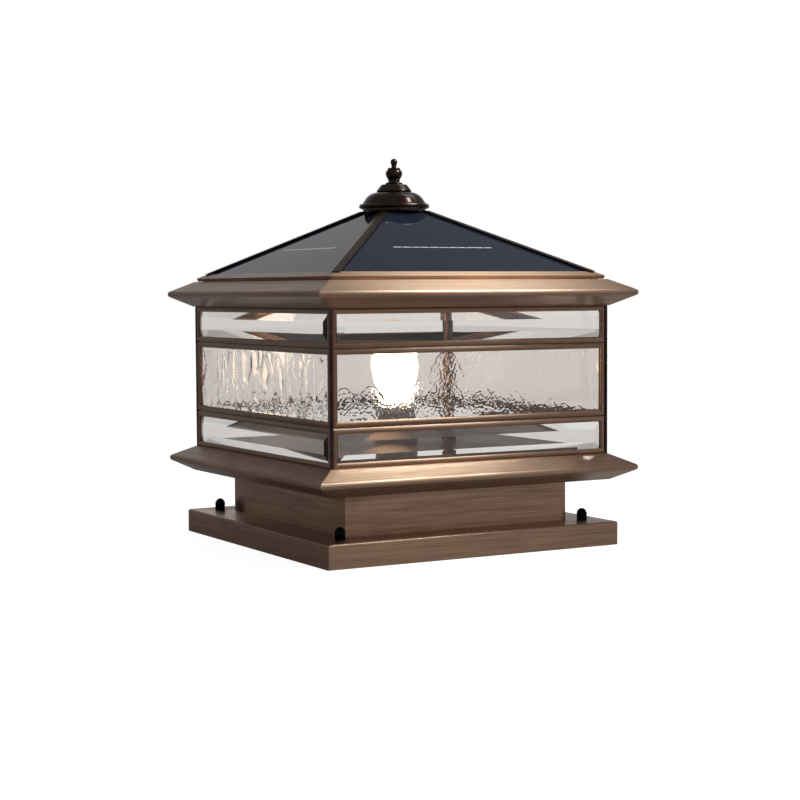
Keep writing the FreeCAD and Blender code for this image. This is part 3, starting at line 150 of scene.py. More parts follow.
@dataclass(frozen=True)
class BrushedBronze:
    """Steel sheet, plated antique bronze, brushed in one direction and lacquered.

    Gives long fine streaks of light and dark brown that turn at each mitre, and a soft stretched
    highlight. Real brush lines are finer than a pixel, so they are drawn this coarse to show.
    """

    name: str
    dark: str = "#886853"
    light: str = "#b48d72"
    roughness: float = 0.34
    dulled_by: float = 0.08
    polished_by: float = 0.05
    streak_mm: float = 0.7
    streak_long_mm: float = 45.0
    streak_share: float = 0.55
    broad_scale: tuple[float, float, float] = (0.35, 0.22, 0.22)
    broad_share: float = 0.35
    patch_mm: float = 26.0
    patch_share: float = 0.12
    tone_low: float = 0.36
    tone_high: float = 0.66
    relief: float = 0.04
    relief_deep_mm: float = 0.3
    stretch: float = 0.92
    stretch_turn: float = 0.25
    lacquer: float = 0.35
    lacquer_roughness: float = 0.25

    def make(self) -> bpy.types.Material:
        """Build the material.

        Returns:
            The finished material.
        """
        material, tree, out = new_tree(self.name)
        place = put(tree, "TexCoord")
        axes = put(tree, "SeparateXYZ", links={0: place.outputs["Object"]})
        wide = put(tree, "Math", links={0: axes.outputs[0]}, operation="ABSOLUTE")
        deep = put(tree, "Math", links={0: axes.outputs[1]}, operation="ABSOLUTE")
        side = put(tree, "Math", links={0: wide.outputs[0], 1: deep.outputs[0]},
                   operation="GREATER_THAN")
        across = put(tree, "Math", links={0: wide.outputs[0], 1: deep.outputs[0]},
                     operation="MAXIMUM")
        along = put(tree, "Mix", links={"Factor": side.outputs[0], "A": axes.outputs[0],
                                        "B": axes.outputs[1]})
        path = put(tree, "CombineXYZ", links={0: along.outputs[0], 1: across.outputs[0],
                                              2: axes.outputs[2]})
        fine = 1 / (self.streak_mm * MM)
        long = 1 / (self.streak_long_mm * MM)
        streak_place = put(tree, "VectorMath", values={1: (long, fine, fine)},
                           links={0: path.outputs[0]}, operation="MULTIPLY")
        streak = put(tree, "TexNoise", values={"Scale": 1.0, "Detail": 3.0, "Roughness": 0.65},
                     links={"Vector": streak_place.outputs[0]})
        broad_place = put(tree, "VectorMath", values={1: self.broad_scale},
                          links={0: streak_place.outputs[0]}, operation="MULTIPLY")
        broad = put(tree, "TexNoise", values={"Scale": 1.0, "Detail": 2.0, "Roughness": 0.5},
                    links={"Vector": broad_place.outputs[0]})
        patch = put(tree, "TexNoise", values={"Scale": 1 / (self.patch_mm * MM), "Detail": 2.0},
                    links={"Vector": place.outputs["Object"]})
        blend = put(tree, "Math", values={1: self.streak_share}, links={0: streak.outputs[0]},
                    operation="MULTIPLY")
        more = put(tree, "Math", values={1: self.broad_share},
                   links={0: broad.outputs[0], 2: blend.outputs[0]}, operation="MULTIPLY_ADD")
        total = put(tree, "Math", values={1: self.patch_share},
                    links={0: patch.outputs[0], 2: more.outputs[0]}, operation="MULTIPLY_ADD")
        tone = put(tree, "MapRange", values={"From Min": self.tone_low, "From Max": self.tone_high},
                   links={"Value": total.outputs[0]})
        colour = put(tree, "Mix", values={"A": linear(self.dark), "B": linear(self.light)},
                     links={"Factor": tone.outputs[0]}, data_type="RGBA")
        sheen = put(tree, "MapRange", values={"To Min": self.roughness + self.dulled_by,
                                              "To Max": self.roughness - self.polished_by},
                    links={"Value": tone.outputs[0]})
        bump = put(tree, "Bump", values={"Strength": self.relief,
                                         "Distance": self.relief_deep_mm * MM},
                   links={"Height": streak.outputs[0]})
        lie = put(tree, "CombineXYZ", values={0: 1.0, 1: 0.0, 2: 0.0})
        stand = put(tree, "CombineXYZ", values={0: 0.0, 1: 1.0, 2: 0.0})
        run = put(tree, "Mix", links={"Factor": side.outputs[0], "A": lie.outputs[0],
                                      "B": stand.outputs[0]}, data_type="VECTOR")
        world_run = put(tree, "VectorTransform", links={0: run.outputs[1]}, vector_type="VECTOR",
                        convert_from="OBJECT", convert_to="WORLD")
        shader = put(tree, "BsdfPrincipled",
                     values={"Metallic": 1.0, "Anisotropic": self.stretch,
                             "Anisotropic Rotation": self.stretch_turn,
                             "Coat Weight": self.lacquer, "Coat Roughness": self.lacquer_roughness},
                     links={"Base Color": colour.outputs[2], "Roughness": sheen.outputs[0],
                            "Normal": bump.outputs[0], "Tangent": world_run.outputs[0]})
        tree.links.new(shader.outputs[0], out.inputs[0])
        return material


@dataclass(frozen=True)
class PlainMetal:
    """Turned, pressed or plated metal.

    Gives an even gloss with a faint cloud in its tone and sheen, as handled metal has.
    """

    name: str
    dark: str
    light: str
    roughness: float = 0.3
    polished_by: float = 0.05
    dulled_by: float = 0.07
    cloud_mm: float = 6.0
    tone_low: float = 0.35
    tone_high: float = 0.65
    relief: float = 0.04
    relief_deep_mm: float = 0.2
    coat: float = 0.0
    coat_roughness: float = 0.08

    def make(self) -> bpy.types.Material:
        """Build the material.

        Returns:
            The finished material.
        """
        material, tree, out = new_tree(self.name)
        place = put(tree, "TexCoord")
        cloud = put(tree, "TexNoise", values={"Scale": 1 / (self.cloud_mm * MM), "Detail": 4.0},
                    links={"Vector": place.outputs["Object"]})
        tone = put(tree, "MapRange", values={"From Min": self.tone_low, "From Max": self.tone_high},
                   links={"Value": cloud.outputs[0]})
        colour = put(tree, "Mix", values={"A": linear(self.dark), "B": linear(self.light)},
                     links={"Factor": tone.outputs[0]}, data_type="RGBA")
        sheen = put(tree, "MapRange", values={"To Min": self.roughness - self.polished_by,
                                              "To Max": self.roughness + self.dulled_by},
                    links={"Value": tone.outputs[0]})
        bump = put(tree, "Bump", values={"Strength": self.relief,
                                         "Distance": self.relief_deep_mm * MM},
                   links={"Height": cloud.outputs[0]})
        shader = put(tree, "BsdfPrincipled",
                     values={"Metallic": 1.0, "Coat Weight": self.coat,
                             "Coat Roughness": self.coat_roughness},
                     links={"Base Color": colour.outputs[2], "Roughness": sheen.outputs[0],
                            "Normal": bump.outputs[0]})
        tree.links.new(shader.outputs[0], out.inputs[0])
        return material


@dataclass(frozen=True)
class HipBronze:
    """Folded bronze rail, polished, with painted shade along its middle channel.

    Gives a thin glossy line, darker than the sheets, with a black seam of painted shade along its middle,
    where the channel lies in shadow.
    """

    name: str
    dark: str = "#4a3c35"
    light: str = "#6a5548"
    # Painted shade: near black for the middle of the rail, where its channel lies in shadow.
    groove_shade: str = "#0c0908"
    groove_shade_mm: float = 0.95
    cloud_mm: float = 3.0
    roughness: float = 0.2
    dulled_by: float = 0.1

    def make(self) -> bpy.types.Material:
        """Build the material.

        Returns:
            The finished material.
        """
        material, tree, out = new_tree(self.name)
        place = put(tree, "TexCoord")
        cloud = put(tree, "TexNoise", values={"Scale": 1 / (self.cloud_mm * MM), "Detail": 3.0},
                    links={"Vector": place.outputs["Object"]})
        base = put(tree, "Mix", values={"A": linear(self.dark), "B": linear(self.light)},
                   links={"Factor": cloud.outputs[0]}, data_type="RGBA")
        axes = put(tree, "SeparateXYZ", links={0: place.outputs["Object"]})
        wide = put(tree, "Math", links={0: axes.outputs[0]}, operation="ABSOLUTE")
        deep = put(tree, "Math", links={0: axes.outputs[1]}, operation="ABSOLUTE")
        # Painted shade: the colour turns near black where |x| and |y| meet, along the middle of the rail.
        inner = put(tree, "Math", values={2: self.groove_shade_mm * MM},
                    links={0: wide.outputs[0], 1: deep.outputs[0]}, operation="COMPARE")
        colour = put(tree, "Mix", values={"B": linear(self.groove_shade)},
                     links={"Factor": inner.outputs[0], "A": base.outputs[2]}, data_type="RGBA")
        sheen = put(tree, "MapRange", values={"To Min": self.roughness,
                                              "To Max": self.roughness + self.dulled_by},
                    links={"Value": cloud.outputs[0]})
        shader = put(tree, "BsdfPrincipled", values={"Metallic": 1.0},
                     links={"Base Color": colour.outputs[2], "Roughness": sheen.outputs[0]})
        tree.links.new(shader.outputs[0], out.inputs[0])
        return material


@dataclass(frozen=True)
class Moulded:
    """Moulded plastic, rubber or solder mask.

    Gives one even colour with a soft sheen. The grain of a real mould is finer than a pixel, so it
    is drawn this coarse to show.
    """

    name: str
    colour: str
    roughness: float = 0.45
    sheen_spread: float = 0.08
    grain_mm: float = 0.8
    relief: float = 0.08
    relief_deep_mm: float = 0.2

    def make(self) -> bpy.types.Material:
        """Build the material.

        Returns:
            The finished material.
        """
        material, tree, out = new_tree(self.name)
        place = put(tree, "TexCoord")
        grain = put(tree, "TexNoise", values={"Scale": 1 / (self.grain_mm * MM), "Detail": 2.0},
                    links={"Vector": place.outputs["Object"]})
        sheen = put(tree, "MapRange", values={"To Min": self.roughness - self.sheen_spread,
                                              "To Max": self.roughness + self.sheen_spread},
                    links={"Value": grain.outputs[0]})
        bump = put(tree, "Bump", values={"Strength": self.relief,
                                         "Distance": self.relief_deep_mm * MM},
                   links={"Height": grain.outputs[0]})
        shader = put(tree, "BsdfPrincipled", values={"Base Color": linear(self.colour)},
                     links={"Roughness": sheen.outputs[0], "Normal": bump.outputs[0]})
        tree.links.new(shader.outputs[0], out.inputs[0])
        return material


@dataclass(frozen=True)
class ClearGlass:
    """Soda glass, polished flat or rolled.

    Gives a clear pane with bright edges. Shadow and diffuse rays pass straight through it, so that
    the soft boxes light what stands behind.
    """

    name: str
    tint: str = "#fdfbf9"
    index: float = 1.5
    roughness: float = 0.0
    haze: float = 0.02
    haze_mm: float = 18.0

    def make(self) -> bpy.types.Material:
        """Build the material.

        Returns:
            The finished material.
        """
        material, tree, out = new_tree(self.name)
        place = put(tree, "TexCoord")
        haze = put(tree, "TexNoise", values={"Scale": 1 / (self.haze_mm * MM), "Detail": 2.0},
                   links={"Vector": place.outputs["Object"]})
        sheen = put(tree, "MapRange", values={"To Min": self.roughness,
                                              "To Max": self.roughness + self.haze},
                    links={"Value": haze.outputs[0]})
        glass = put(tree, "BsdfPrincipled",
                    values={"Base Color": linear(self.tint), "Transmission Weight": 1.0,
                            "IOR": self.index},
                    links={"Roughness": sheen.outputs[0]})
        clear = put(tree, "BsdfTransparent", values={0: linear(self.tint)})
        ray = put(tree, "LightPath")
        either = put(tree, "Math", links={0: ray.outputs["Is Shadow Ray"],
                                          1: ray.outputs["Is Diffuse Ray"]}, operation="MAXIMUM")
        mix = put(tree, "MixShader", links={0: either.outputs[0], 1: glass.outputs[0],
                                            2: clear.outputs[0]})
        tree.links.new(mix.outputs[0], out.inputs[0])
        return material


@dataclass(frozen=True)
class SolarGlass:
    """Dark silicon cells laminated under toughened glass.

    Gives a near black face with one clear gloss. A broken pale line, the cells' soldered ribbon,
    shows through half way up each panel.
    """

    name: str
    cell: str = "#2e2e3e"
    edge: str = "#22222c"
    cloud_mm: float = 30.0
    ribbon: str = "#f2f2f4"
    ribbon_half_mm: float = 82.6
    ribbon_wide_mm: float = 0.5
    ribbon_reach_mm: float = 47.2
    dash_mm: float = 8.6
    dash_shift: float = 0.5
    gap_share: float = 0.13
    roughness: float = 0.03
    index: float = 1.36

    def make(self) -> bpy.types.Material:
        """Build the material.

        Returns:
            The finished material.
        """
        material, tree, out = new_tree(self.name)
        place = put(tree, "TexCoord")
        cloud = put(tree, "TexNoise", values={"Scale": 1 / (self.cloud_mm * MM), "Detail": 3.0},
                    links={"Vector": place.outputs["Object"]})
        base = put(tree, "Mix", values={"A": linear(self.edge), "B": linear(self.cell)},
                   links={"Factor": cloud.outputs[0]}, data_type="RGBA")
        axes = put(tree, "SeparateXYZ", links={0: place.outputs["Object"]})
        wide = put(tree, "Math", links={0: axes.outputs[0]}, operation="ABSOLUTE")
        deep = put(tree, "Math", links={0: axes.outputs[1]}, operation="ABSOLUTE")
        out_from = put(tree, "Math", links={0: wide.outputs[0], 1: deep.outputs[0]},
                       operation="MAXIMUM")
        along = put(tree, "Math", links={0: wide.outputs[0], 1: deep.outputs[0]},
                    operation="MINIMUM")
        band = put(tree, "Math", values={1: self.ribbon_half_mm * MM, 2: self.ribbon_wide_mm * MM},
                   links={0: out_from.outputs[0]}, operation="COMPARE")
        reach = put(tree, "Math", values={1: self.ribbon_reach_mm * MM}, links={0: along.outputs[0]},
                    operation="LESS_THAN")
        step = put(tree, "Math", values={1: 1 / (self.dash_mm * MM), 2: self.dash_shift},
                   links={0: along.outputs[0]}, operation="MULTIPLY_ADD")
        phase = put(tree, "Math", links={0: step.outputs[0]}, operation="FRACT")
        dash = put(tree, "Math", values={1: self.gap_share}, links={0: phase.outputs[0]},
                   operation="GREATER_THAN")
        inside = put(tree, "Math", links={0: band.outputs[0], 1: reach.outputs[0]},
                     operation="MULTIPLY")
        shown = put(tree, "Math", links={0: inside.outputs[0], 1: dash.outputs[0]},
                    operation="MULTIPLY")
        colour = put(tree, "Mix", values={"B": linear(self.ribbon)},
                     links={"Factor": shown.outputs[0], "A": base.outputs[2]}, data_type="RGBA")
        shader = put(tree, "BsdfPrincipled", values={"Roughness": self.roughness, "IOR": self.index},
                     links={"Base Color": colour.outputs[2]})
        tree.links.new(shader.outputs[0], out.inputs[0])
        return material


@dataclass(frozen=True)
class Lit:
    """Opal glass or phosphor that gives light of one warm colour, weaker at its crown."""

    name: str
    colour: str
    strength: float
    crown_from: float = 0.8
    crown_to: float = 0.97
    crown_strength: float = 0.6
    cloud_mm: float = 2.0
    roughness_low: float = 0.3
    roughness_high: float = 0.5

    def make(self) -> bpy.types.Material:
        """Build the material.

        Returns:
            The finished material.
        """
        material, tree, out = new_tree(self.name)
        place = put(tree, "TexCoord")
        cloud = put(tree, "TexNoise", values={"Scale": 1 / (self.cloud_mm * MM)},
                    links={"Vector": place.outputs["Object"]})
        sheen = put(tree, "MapRange", values={"To Min": self.roughness_low,
                                              "To Max": self.roughness_high},
                    links={"Value": cloud.outputs[0]})
        axes = put(tree, "SeparateXYZ", links={0: place.outputs["Generated"]})
        power = put(tree, "MapRange", values={"From Min": self.crown_from, "From Max": self.crown_to,
                                              "To Min": self.strength, "To Max": self.crown_strength},
                    links={"Value": axes.outputs[2]}, interpolation_type="SMOOTHSTEP")
        shader = put(tree, "BsdfPrincipled",
                     values={"Base Color": linear(self.colour), "Emission Color": linear(self.colour)},
                     links={"Roughness": sheen.outputs[0], "Emission Strength": power.outputs[0]})
        tree.links.new(shader.outputs[0], out.inputs[0])
        return material


@dataclass(frozen=True)
class Finishes:
    """Every finish of the light, each made once."""

    # Antique bronze plate, brushed and lacquered: warm streaks along each side.
    sheet: bpy.types.Material = field(default_factory=BrushedBronze("brushed_bronze_sheet").make)
    # The same plate on thin drawn bars: darker and a little glossier.
    trim: bpy.types.Material = field(default_factory=BrushedBronze(
        "bronze_frame_bars", dark="#7b5e4b", light="#a58068", roughness=0.3, streak_mm=0.6).make)
    # Polished bronze, folded: a thin dark gloss with a black seam of painted shade along its middle.
    hip: bpy.types.Material = field(default_factory=HipBronze("bronze_hip_rails").make)
    # The same plate on the neck, with wider streaks, painted lighter as light to make up for the shade
    # that the lower eave casts on it.
    neck: bpy.types.Material = field(default_factory=BrushedBronze(
        "brushed_bronze_neck_painted_light", dark="#9a7660", light="#c69c82", streak_mm=0.9).make)
    # The same plate left unpolished inside: dark brown and dull.
    pan: bpy.types.Material = field(default_factory=BrushedBronze(
        "dull_bronze_floor", dark="#5c3f2e", light="#7c583f", roughness=0.5).make)
    # Dark bronze under clear lacquer, spun: near black with a sharp highlight.
    dark: bpy.types.Material = field(default_factory=PlainMetal(
        "dark_bronze_lacquer", "#33241e", "#48352c", roughness=0.17, coat=0.3).make)
    # Steel, oxidised black: black with a soft sheen.
    nut: bpy.types.Material = field(default_factory=PlainMetal(
        "black_oxide_steel", "#101010", "#1c1c1c", roughness=0.35).make)
    # Steel, zinc plated: cool light grey.
    zinc: bpy.types.Material = field(default_factory=PlainMetal(
        "zinc_plated_steel", "#9a9c9f", "#b8babd", roughness=0.32).make)
    # Brass sheet, pressed and bare: warm yellow.
    brass: bpy.types.Material = field(default_factory=PlainMetal(
        "bare_brass_sheet", "#b08a44", "#c9a55c", roughness=0.25).make)
    # Aluminium, rolled with a thread: pale and bright.
    cap: bpy.types.Material = field(default_factory=PlainMetal(
        "rolled_aluminium_cap", "#b5b5b3", "#cfcfcd", roughness=0.28).make)
    # Float glass, bevelled and polished: clear with bright edges.
    clear: bpy.types.Material = field(default_factory=ClearGlass("bevelled_clear_glass").make)
    # Rolled glass: a touch warmer and softer than float glass.
    rolled: bpy.types.Material = field(default_factory=ClearGlass(
        "water_glass", tint="#f8f3ef", roughness=0.03).make)
    # Opal glass, blown and lit: a warm white glow.
    bulb: bpy.types.Material = field(default_factory=Lit(
        "lit_opal_bulb", colour="#ffe6c4", strength=9.0).make)
    # Phosphor, coated on a strip and lit: a warmer glow inside the bulb.
    strip: bpy.types.Material = field(default_factory=Lit(
        "lit_filament", colour="#ffd690", strength=20.0).make)
    # Silicon cells under toughened glass: near black gloss with a pale ribbon.
    solar: bpy.types.Material = field(default_factory=SolarGlass("solar_cells_under_glass").make)
    # Pressed steel, painted grey: warm grey with a soft sheen.
    grey: bpy.types.Material = field(default_factory=PlainMetal(
        "grey_lampholder", "#77706c", "#8d8783", roughness=0.38).make)
    # Nylon, moulded: flat black.
    black: bpy.types.Material = field(default_factory=Moulded("black_nylon", "#151515", 0.5).make)
    # Shrunk plastic sleeve: glossy blue.
    wrap: bpy.types.Material = field(default_factory=Moulded(
        "shrunk_cell_sleeve", "#1f4f93", 0.25).make)
    # Solder mask, printed: glossy green.
    board: bpy.types.Material = field(default_factory=Moulded(
        "green_solder_mask", "#0f4a2a", 0.3).make)
    # Nylon, moulded: flat white.
    white: bpy.types.Material = field(default_factory=Moulded("white_nylon", "#dcdad4", 0.5).make)
    # Soft plastic, extruded: dull black.
    cord: bpy.types.Material = field(default_factory=Moulded(
        "black_cord_cover", "#141414", 0.55).make)
    # Hard plastic, moulded: glossy red.
    red: bpy.types.Material = field(default_factory=Moulded("red_button", "#98170f", 0.3).make)


@dataclass(frozen=True)
class Base:
    """Tray and neck, with what holds them to the pillar and to each other."""

    finishes: Finishes

    def dress(self) -> None:
        """Dress the tray, the neck, their rivets, and the bars, studs and nuts."""
        wear(self.finishes.sheet, "base_tray")
        # The neck wears a copy of the plate that is painted lighter as light.
        wear(self.finishes.neck, "neck_shell")
        wear(self.finishes.trim, "neck_rivets")
        wear(self.finishes.nut, "lock_nuts", "cap_nuts")
        wear(self.finishes.zinc, "mounting_bars", "hold_down_studs")


@dataclass(frozen=True)
class GlassBody:
    """Eaves, floor, posts, frames and flat panes, and the strap and rod that clamp the roof."""

    finishes: Finishes

    def dress(self) -> None:
        """Dress the glazed body. Its rolled panes are built by WaterGlass."""
        wear(self.finishes.sheet, "lower_eave", "upper_eave")
        wear(self.finishes.pan, "floor_plate", "cord_tube")
        wear(self.finishes.trim, "lower_frames", "middle_frames", "upper_frames")
        wear(self.finishes.dark, "cross_bars", "corner_posts")
        wear(self.finishes.zinc, "lantern_screws", "roof_strap", "tie_rod", "rod_nut")
        for side in Side:
            wear(self.finishes.clear, f"lower_pane_{side.word}", f"upper_pane_{side.word}")


@dataclass(frozen=True)
class Lamp:
    """Bulb, lampholder and the cord that feeds them."""

    finishes: Finishes

    def dress(self) -> None:
        """Dress the bulb, its holder, the cord and the socket on the strap."""
        wear(self.finishes.bulb, "bulb_globe")
        wear(self.finishes.strip, "bulb_filaments")
        wear(self.finishes.cap, "bulb_cap")
        wear(self.finishes.grey, "lampholder_body")
        wear(self.finishes.brass, "lampholder_shell", "lampholder_contact")
        wear(self.finishes.black, "lamp_socket")
        wear(self.finishes.cord, "lamp_lead")


@dataclass(frozen=True)
class SolarHead:
    """Roof that lifts off: rim, rails, panels and all that hangs under them."""

    finishes: Finishes

    def dress(self) -> None:
        """Dress the roof, its finial and its works."""
        wear(self.finishes.sheet, "roof_rim", "roof_cover_plate")
        wear(self.finishes.hip, "hip_rails")
        wear(self.finishes.dark, "apex_plate", "finial_bell", "finial_tier", "finial_knob")
        wear(self.finishes.zinc, "cover_screws")
        wear(self.finishes.black, "head_plug", "battery_holder", "switch_body")
        wear(self.finishes.wrap, "battery_cells")
        wear(self.finishes.board, "controller_board")
        wear(self.finishes.white, "board_posts")
        wear(self.finishes.cord, "head_leads")
        wear(self.finishes.red, "switch_button")
        for side in Side:
            wear(self.finishes.solar, f"solar_panel_{side.word}")


@dataclass
class WaterGlass:
    """The four middle panes: rolled glass with a rippled, pebbled outer face.

    Every mound is its middle, its top and its half width in millimetres.
    """

    material: bpy.types.Material
    glass_half_mm: float = 131.5
    mean_depth_mm: float = 1.75
    back_depth_mm: float = 3.95
    step_mm: float = 0.5
    far_step_mm: float = 1.0
    border_mm: float = 2.5
    border_flat: float = 0.5
    seed_step: float = 3.7
    wave_mm: tuple[float, float] = (30.0, 24.0)
    wave_rise_mm: float = 0.25
    wave_seed: float = 4.0
    pebble_mm: float = 1.9
    pebble_rise_mm: float = 0.105
    pebble_fall: float = 1.6
    mound_reach: float = 1.6
    mound_round: float = 1.7
    mound_steep: float = 1.1
    mound_rise_mm: float = 0.14
    mound_edge_mm: float = 1.5
    mound_fade_mm: float = 11.0
    wobble_mm: float = 4.0
    wobble_rise_mm: float = 2.2
    lobe_mm: tuple[float, float] = (13.5, 32.0)
    lobe_rise_mm: float = 0.55
    lobe_edge: float = 0.3
    lobe_fall: float = 0.5
    far_lobe_share: float = 0.35
    sway_mm: tuple[float, float] = (22.0, 30.0)
    sway_share: float = 0.35
    sway_seed: float = 9.0
    fine_top_mm: float = 137.0
    fine_slope: float = 0.16
    fine_blend_mm: float = 5.0
    fine_least: float = 0.4
    fine_share: float = 0.7
    mounds: tuple[tuple[int, int, int], ...] = (
        (-119, 141, 16), (-106, 136, 14), (-95, 142, 15), (-76, 134, 16), (-58, 139, 15),
        (-44, 150, 17), (-26, 169, 13), (-8, 169, 12), (-21, 142, 12), (-2, 151, 19),
        (4, 134, 12), (26, 139, 16), (40, 133, 10), (60, 136, 15), (74, 126, 9),
        (88, 122, 9), (101, 121, 9), (114, 120, 10), (-66, 127, 12), (-38, 131, 13))
    left_mounds: tuple[tuple[int, int, int], ...] = (
        (-112, 129, 15), (-92, 134, 17), (-70, 130, 15), (-50, 125, 14), (-31, 133, 14),
        (-10, 127, 15), (10, 132, 16), (30, 123, 12), (48, 121, 10), (66, 122, 12),
        (84, 120, 11), (104, 121, 12))

    def pebbles(self, across: float, up: float, seed: float) -> float:
        """Fine rounded pebbles of the rolled face.

        Args:
            across: Distance along the pane in millimetres.
            up: Height in millimetres.
            seed: Offset that makes each pane its own.

        Returns:
            Height in millimetres.
        """
        spot = Vector((across / self.pebble_mm, up / self.pebble_mm, seed))
        near = noise.voronoi(spot)[0]
        return self.pebble_rise_mm * (1.0 - min(near[0], 1.0) * self.pebble_fall)

    def mound(self, across: float, up: float, seed: float, mounds: tuple) -> float:
        """Overlapping pebbled mounds, the nearest in front.

        Args:
            across: Distance along the pane in millimetres.
            up: Height in millimetres.
            seed: Offset that makes each pane its own.
            mounds: Middle, top and half width of every mound.

        Returns:
            Height in millimetres.
        """
        spot = Vector((across / self.wobble_mm, up / self.wobble_mm, seed))
        wobble = noise.noise(spot) * self.wobble_rise_mm
        best = None
        for middle, top, half in mounds:
            reach = abs(across - middle) / half
            if reach > self.mound_reach:
                continue
            deep = top - (reach ** self.mound_round) * half * self.mound_steep + wobble - up
            if deep > 0 and (best is None or deep < best):
                best = deep
        if best is None:
            return 0.0
        rim = min(best / self.mound_edge_mm, 1.0)
        swell = self.mound_rise_mm * rim * math.exp(-best / self.mound_fade_mm)
        return swell + rim * self.pebbles(across, up, seed)

    def lobes(self, across: float, up: float, seed: float) -> float:
        """Tall rounded lobes, parted by creases, as if water ran down.

        Args:
            across: Distance along the pane in millimetres.
            up: Height in millimetres.
            seed: Offset that makes each pane its own.

        Returns:
            Height in millimetres.
        """
        bend = Vector((across / self.sway_mm[0], up / self.sway_mm[1], seed + self.sway_seed))
        sway = noise.noise(bend) * self.sway_share
        spot = Vector((across / self.lobe_mm[0] + sway, up / self.lobe_mm[1], seed))
        near = noise.voronoi(spot)[0]
        crease = min((near[1] - near[0]) / self.lobe_edge, 1.0)
        return self.lobe_rise_mm * crease * (1.0 - self.lobe_fall * near[0])

    def height(self, side: Side, across: float, up: float) -> float:
        """Relief of the outer face at one spot.

        Args:
            side: Which side of the light the pane stands on.
            across: Distance along the pane in millimetres.
            up: Height in millimetres.

        Returns:
            Height above the mean face in millimetres.
        """
        seed = self.seed_step * list(Side).index(side)
        wave = Vector((across / self.wave_mm[0], up / self.wave_mm[1], seed + self.wave_seed))
        slow = noise.noise(wave) * self.wave_rise_mm
        if side in (Side.FRONT, Side.BACK):
            return slow + self.mound(across, up, seed, self.mounds)
        if side is Side.RIGHT:
            return slow + self.far_lobe_share * self.lobes(across, up, seed)
        line = self.fine_top_mm - self.fine_slope * across
        pebbled = min(max((line - up) / self.fine_blend_mm, 0.0), 1.0)
        fine = self.fine_least + (1.0 - self.fine_least) * pebbled
        return (slow + self.lobes(across, up, seed) + self.mound(-across, up, seed, self.left_mounds)
                + fine * self.pebbles(across, up, seed) * self.fine_share)

    def build(self, side: Side) -> bpy.types.Object:
        """Build one pane.

        Args:
            side: Which side of the light it stands on.

        Returns:
            The new pane, in place of its node.
        """
        node = f"middle_pane_{side.word}"
        low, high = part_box(node)
        wide = max(high[0] - low[0], high[1] - low[1]) / 2 / MM
        foot, top = low[2] / MM, high[2] / MM
        step = self.step_mm if side in (Side.FRONT, Side.LEFT) else self.far_step_mm
        columns = round(2 * wide / step)
        rows = round((top - foot) / step)
        mesh = bmesh.new()
        front, back = [], []
        for row in range(rows + 1):
            up = foot + (top - foot) * row / rows
            for column in range(columns + 1):
                across = -wide + 2 * wide * column / columns
                rim = min(wide - abs(across), up - foot, top - up) / self.border_mm
                share = min(max(rim - self.border_flat, 0.0), 1.0)
                rise = self.height(side, across, up) * share
                spot = Vector((across, -(self.glass_half_mm - self.mean_depth_mm) - rise, up)) * MM
                front.append(mesh.verts.new(spot))
                flat = Vector((across, -(self.glass_half_mm - self.back_depth_mm), up)) * MM
                back.append(mesh.verts.new(flat))
        span = columns + 1
        for row in range(rows):
            for column in range(columns):
                at = row * span + column
                corners = (at, at + 1, at + 1 + span, at + span)
                mesh.faces.new([front[corner] for corner in corners])
                mesh.faces.new([back[corner] for corner in reversed(corners)])
        for column in range(columns):
            self.close(mesh, front, back, column, column + 1)
            self.close(mesh, front, back, rows * span + column + 1, rows * span + column)
        for row in range(rows):
            self.close(mesh, front, back, (row + 1) * span, row * span)
            self.close(mesh, front, back, row * span + columns, (row + 1) * span + columns)
        bmesh.ops.rotate(mesh, verts=mesh.verts, cent=(0, 0, 0),
                         matrix=Matrix.Rotation(math.radians(side.value), 3, "Z"))
        bmesh.ops.recalc_face_normals(mesh, faces=mesh.faces)
        data = bpy.data.meshes.new(f"water_glass_{side.word}")
        mesh.to_mesh(data)
        mesh.free()
        data.shade_smooth()
        pane = bpy.data.objects.new(f"water_glass_{side.word}", data)
        bpy.context.collection.objects.link(pane)
        dress(pane, self.material)
        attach(pane, "lantern")
        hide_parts(node)
        log.info("water_glass_%s: %d faces", side.word, len(data.polygons))
        return pane

    @staticmethod
    def close(mesh: bmesh.types.BMesh, front: list, back: list, first: int, second: int) -> None:
        """Join the two faces of a pane along one step of its rim.

        Args:
            mesh: Mesh that takes the new face.
            front: Points of the outer face.
            back: Points of the inner face.
            first: Place of the step's first point.
            second: Place of the step's second point.
        """
        mesh.faces.new((front[second], front[first], back[first], back[second]))


@dataclass(frozen=True)
class Camera:
    """Camera that stands where the photograph was taken, in degrees and metres."""

    azimuth: float = -29.5441
    distance: float = 1.57075
    height: float = 0.21626
    offset: float = 0.0041
    tilt: float = 3.494
    roll: float = -0.3351
    lens_mm: float = 81.23
    clip_near: float = 0.05

    def place(self) -> None:
        """Add the camera and make it the scene's own."""
        turn, tilt, roll = (math.radians(angle) for angle in (self.azimuth, self.tilt, self.roll))
        right = Vector((math.cos(turn), math.sin(turn), 0))
        ahead = Vector((-math.sin(turn), math.cos(turn), 0))
        spot = right * self.offset - ahead * self.distance + Vector((0, 0, self.height))
        look = ahead * math.cos(tilt) + Vector((0, 0, -math.sin(tilt)))
        down = ahead * -math.sin(tilt) + Vector((0, 0, -math.cos(tilt)))
        across = right * math.cos(roll) - down * math.sin(roll)
        upward = -(down * math.cos(roll) + right * math.sin(roll))
        data = bpy.data.cameras.new("photo_camera")
        data.lens = self.lens_mm
        data.clip_start = self.clip_near
        camera = bpy.data.objects.new("photo_camera", data)
        columns = Matrix((across, upward, -look)).transposed()
        camera.matrix_world = Matrix.Translation(spot) @ columns.to_4x4()
        bpy.context.collection.objects.link(camera)
        bpy.context.scene.camera = camera


